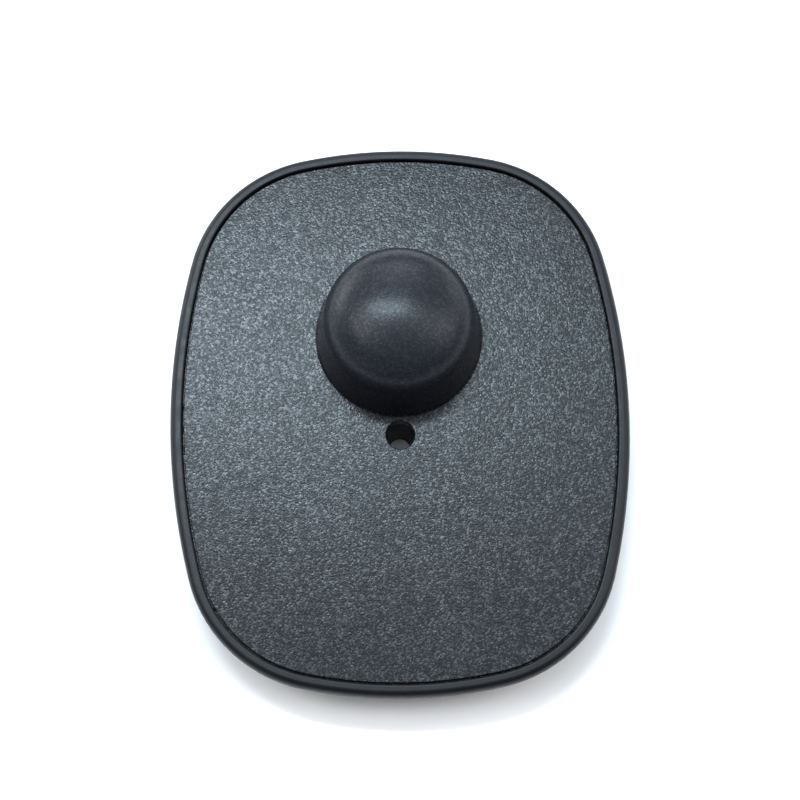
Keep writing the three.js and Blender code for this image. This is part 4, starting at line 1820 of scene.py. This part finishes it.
    def dab(self, index: int, spot: Point) -> bpy.types.Object:
        """Makes a dab of set hot-melt glue.

        Args:
            index: The dab's number from 0.
            spot: Where it was dropped.

        Returns:
            The dab.
        """
        radius, height = 2.5 * MM, 2.8 * MM
        mesh = bpy.data.meshes.new(f"glue_dab_{index + 1}_set")
        shape = bmesh.new()
        bmesh.ops.create_icosphere(shape, subdivisions=5, radius=1)
        centre = Vector((*spot, self.floor_top))
        for vert in shape.verts:
            direction = vert.co.normalized()
            lump = 1 + 0.13 * noise.noise(direction * 1.7 + Vector((index * 5, 1, 2)))
            slump = 1 + 0.12 * max(0.0, 0.35 - direction.z)
            across = radius * lump * slump
            up = max(direction.z, -0.02) * height * (0.98 + 0.05 * lump)
            vert.co = centre + Vector((direction.x * across, direction.y * across, up))
            vert.co.z = max(vert.co.z, self.floor_top + 0.02 * MM)
        bmesh.ops.remove_doubles(shape, verts=shape.verts, dist=1e-7)
        shape.to_mesh(mesh)
        shape.free()
        mesh.materials.append(self.glue.material())
        return shade(place(f"glue_dab_{index + 1}_set", mesh), 70)

    def build(self) -> list[bpy.types.Object]:
        """Makes the circuit's pieces, dresses them and ties them to the frame.

        Returns:
            The pieces made.
        """
        coil = self.wire("coil_wound", self.winding(), self.wire_radius, self.copper)
        ties = [
            (coil, self.copper, "antenna_coil"),
            (self.capacitor(), self.coat, "tuning_capacitor"),
            (self.lead(-1), self.tin, "capacitor_lead_left"),
            (self.lead(1), self.tin, "capacitor_lead_right"),
            (self.joint(-1), self.solder, "solder_joint_left"),
            (self.joint(1), self.solder, "solder_joint_right"),
        ]
        spots = [self.outline.point(math.radians(angle), 5.5 * MM) for angle in (45, 135, 225, 315)]
        spots.append((0.0, self.capacitor_y + self.capacitor_radius))
        for index, spot in enumerate(spots):
            ties.append((self.dab(index, spot), self.glue, f"glue_dab_{index + 1}"))
        for piece, finish, node in ties:
            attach(piece, "tag")
            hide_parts(node)
        return [piece for piece, *_ in ties]


# ------------------------------------------------------------------------------------------------
# Studio
# ------------------------------------------------------------------------------------------------


@dataclass(frozen=True)
class SoftBox:
    """An area light aimed at the middle of the tag.

    Attributes:
        name: The light's name.
        north: How far it leans to the north from straight above, in degrees.
        east: How far it leans to the east, in degrees.
        distance: How far away it is.
        size: Its length from west to east and its width.
        power: Its power in watts.
        colour: Its colour.
    """

    name: str
    north: float
    east: float
    distance: float
    size: Point
    power: float
    colour: Colour = (1.0, 1.0, 1.0)

    def hang(self, target: Vector) -> bpy.types.Object:
        """Hangs the light and aims it.

        Args:
            target: What it is aimed at.

        Returns:
            The light's object.
        """
        lamp = bpy.data.lights.new(self.name, "AREA")
        lamp.shape = "RECTANGLE"
        lamp.size, lamp.size_y = self.size
        lamp.energy = self.power
        lamp.color = self.colour
        holder = bpy.data.objects.new(self.name, lamp)
        east, north = math.radians(self.east), math.radians(self.north)
        away = Vector((math.tan(east), math.tan(north), 1)).normalized()
        across = (Vector((1, 0, 0)) - away * away.x).normalized()
        turn = Matrix((across, away.cross(across), away)).transposed().to_4x4()
        holder.matrix_world = Matrix.Translation(target + away * self.distance) @ turn
        bpy.context.scene.collection.objects.link(holder)
        return holder


@dataclass(frozen=True)
class Glow:
    """A soft bright patch of the room, far away.

    Attributes:
        zenith: How far its middle stands from straight above, in degrees.
        bearing: Where it stands, from east towards north, in degrees.
        spread: How wide it is, in degrees.
        strength: How bright its middle is.
        colour: Its colour.
    """

    zenith: float
    bearing: float
    spread: float
    strength: float
    colour: Colour = (1.0, 1.0, 1.0)

    def shine(self, wiring: Wiring, spot: bpy.types.NodeSocket) -> bpy.types.NodeSocket:
        """Adds the glow's nodes.

        Args:
            wiring: The world's wiring.
            spot: The direction looked in.

        Returns:
            The glow's light.
        """
        zenith, bearing = math.radians(self.zenith), math.radians(self.bearing)
        flat = math.sin(zenith)
        middle = (flat * math.cos(bearing), flat * math.sin(bearing), math.cos(zenith))
        away = wiring.maths("SUBTRACT", wiring.vector("DOT_PRODUCT", spot, middle), 1.0)
        fall = wiring.maths("EXPONENT", wiring.maths("DIVIDE", away, math.radians(self.spread) ** 2))
        light = tuple(part * self.strength for part in self.colour)
        return wiring.vector("SCALE", light, fall)


@dataclass
class Studio:
    """The pale floor, the soft lights and the camera.

    Attributes:
        paper: The floor's finish.
        target: What the camera looks at.
        camera_distance: How far the camera is from it.
        camera_tilt: How far the camera leans from straight above, in degrees.
        camera_swing: How far it stands to the side, in degrees.
        camera_roll: How far it is turned about its own axis, in degrees.
        lens: Its focal length in millimetres.
        sensor: Its sensor's width in millimetres.
        floor_size: How wide the floor is.
        lights: The soft boxes.
        glows: The room's glows.
    """

    paper: Finish
    target: Vector = field(default_factory=lambda: Vector((0.02, 1.92, 6.2)) * MM)
    camera_distance: float = 250 * MM
    camera_tilt: float = 15.0
    camera_swing: float = -2.23
    camera_roll: float = -0.82
    lens: float = 99.08
    sensor: float = 36
    floor_size: float = 3.0
    lights: tuple[SoftBox, ...] = (
        SoftBox("north_strip", 18.5, -9.0, 0.28, (0.14, 0.02), 0.75, (0.72, 0.88, 1.0)),
        SoftBox("strip_end", 16.0, 12.0, 0.45, (0.1, 0.03), 0.17, (0.65, 0.9, 1.0)),
    )
    glows: tuple[Glow, ...] = (
        Glow(32.0, 170.0, 8.0, 9.4, (0.95, 0.97, 1.0)),
        Glow(34.0, 10.0, 8.0, 5.2, (0.9, 0.93, 1.0)),
        Glow(17.0, 20.0, 8.0, 3.9, (0.85, 0.92, 1.0)),
        Glow(10.0, 143.0, 8.0, 2.4, (0.85, 0.92, 1.0)),
        Glow(55.0, 90.0, 12.0, 7.0, (0.8, 0.9, 1.0)),
        Glow(55.0, 0.0, 12.0, 4.2, (1.0, 0.96, 0.9)),
        Glow(80.0, 144.0, 16.0, 8.0, (0.95, 0.97, 1.0)),
        Glow(80.0, 36.0, 16.0, 3.3, (0.9, 0.94, 1.0)),
        Glow(80.0, 216.0, 16.0, 0.6, (1.0, 0.97, 0.93)),
        Glow(60.0, 250.0, 60.0, 0.2, (0.95, 0.97, 1.0)),
    )

    def lay_floor(self) -> bpy.types.Object:
        """Lays the paper that the tag lies on.

        Returns:
            The floor.
        """
        half = self.floor_size / 2
        mesh = bpy.data.meshes.new("floor")
        corners = [(-half, -half, 0), (half, -half, 0), (half, half, 0), (-half, half, 0)]
        mesh.from_pydata(corners, [], [(0, 1, 2, 3)])
        mesh.materials.append(self.paper.material())
        floor = place("floor", mesh)
        return floor

    def light_room(self) -> None:
        """Lights the room with its glows."""
        world = bpy.data.worlds.new("room")
        bpy.context.scene.world = world
        world.use_nodes = True
        wiring = Wiring(world.node_tree)
        world.node_tree.nodes.clear()
        spot = wiring.add("ShaderNodeTexCoord").outputs["Generated"]
        total = self.glows[0].shine(wiring, spot)
        for glow in self.glows[1:]:
            total = wiring.vector("ADD", total, glow.shine(wiring, spot))
        sky = wiring.add("ShaderNodeBackground", {"Color": total})
        wiring.add("ShaderNodeOutputWorld", {"Surface": sky.outputs[0]})

    def set_camera(self) -> bpy.types.Object:
        """Sets up the camera.

        Returns:
            The camera.
        """
        lens = bpy.data.cameras.new("camera")
        lens.lens = self.lens
        lens.sensor_width = self.sensor
        lens.clip_start = 0.01
        camera = bpy.data.objects.new("camera", lens)
        tilt, swing = math.radians(self.camera_tilt), math.radians(self.camera_swing)
        lean = math.sin(tilt)
        back = Vector((lean * math.sin(swing), -lean * math.cos(swing), math.cos(tilt)))
        right = Vector((0, 1, 0)).cross(back).normalized()
        up = back.cross(right)
        roll = math.radians(self.camera_roll)
        across = right * math.cos(roll) + up * math.sin(roll)
        upward = up * math.cos(roll) - right * math.sin(roll)
        turn = Matrix((across, upward, back)).transposed().to_4x4()
        camera.matrix_world = Matrix.Translation(self.target + back * self.camera_distance) @ turn
        bpy.context.scene.collection.objects.link(camera)
        bpy.context.scene.camera = camera
        return camera

    def build(self) -> None:
        """Lays the floor, hangs the lights and sets the camera and the picture's tones."""
        self.lay_floor()
        self.light_room()
        for light in self.lights:
            light.hang(self.target)
        self.set_camera()
        bpy.context.scene.view_settings.view_transform = "Standard"


def main() -> None:
    """Builds the tag and its studio."""
    logging.basicConfig(level=logging.INFO, format="%(name)s: %(message)s")
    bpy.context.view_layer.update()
    shop = Workshop()
    outline = Outline.of_case()
    bell_low, bell_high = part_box("clutch_bell")
    axis = (0.0, (bell_low[1] + bell_high[1]) / 2)
    _, cover_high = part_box("front_cover")
    dome = DomeLine(foot=7.15 * MM, top=cover_high[2])

    case = SatinPlastic("case_satin", "case_plastic", (0.0046, 0.005, 0.0062), 0.36)
    cover = GrainedPlastic("cover_grain", "cover_plastic", (0.0052, 0.0057, 0.0072), 0.28)
    steel = TurnedSteel("turned_steel", "plated_steel", (0.5, 0.51, 0.52), 0.32, axis=axis)
    polished = BareMetal("ball_steel", "hard_steel", (0.7, 0.71, 0.73), 0.1, bloom=0.06)
    sprung = BareMetal("spring_wire", "spring_steel", (0.42, 0.43, 0.45), 0.26, depth=0.004 * MM)
    copper = EnamelledCopper("coil_copper", "enamelled_copper", (0.62, 0.22, 0.07), 0.3)
    coat = DippedCoat("capacitor_resin", "capacitor_coat", (0.5, 0.2, 0.035), 0.36)
    tin = BareMetal("lead_tin", "tinned_wire", (0.62, 0.62, 0.6), 0.24)
    solder = BareMetal("joint_solder", "solder", (0.56, 0.56, 0.57), 0.3, scratch=0.3 * MM, bloom=0.25)
    glue = HotMelt("set_glue", "hot_melt", (0.74, 0.68, 0.52), 0.38)
    paper = Paper("studio_paper", "", (0.82, 0.82, 0.82), 0.9)

    assemblies = [
        CaseMould(shop, outline, case, axis),
        CoverMould(shop, outline, cover, case, axis, dome),
        BallClutch(shop, axis, steel, polished, sprung),
        RadioCircuit(shop, outline, copper, coat, tin, solder, glue),
    ]
    for assembly in assemblies:
        for piece in assembly.build():
            log.info("%s: %d faces", piece.name, len(piece.data.polygons))
    Studio(paper).build()


if __name__ == "__main__":
    main()
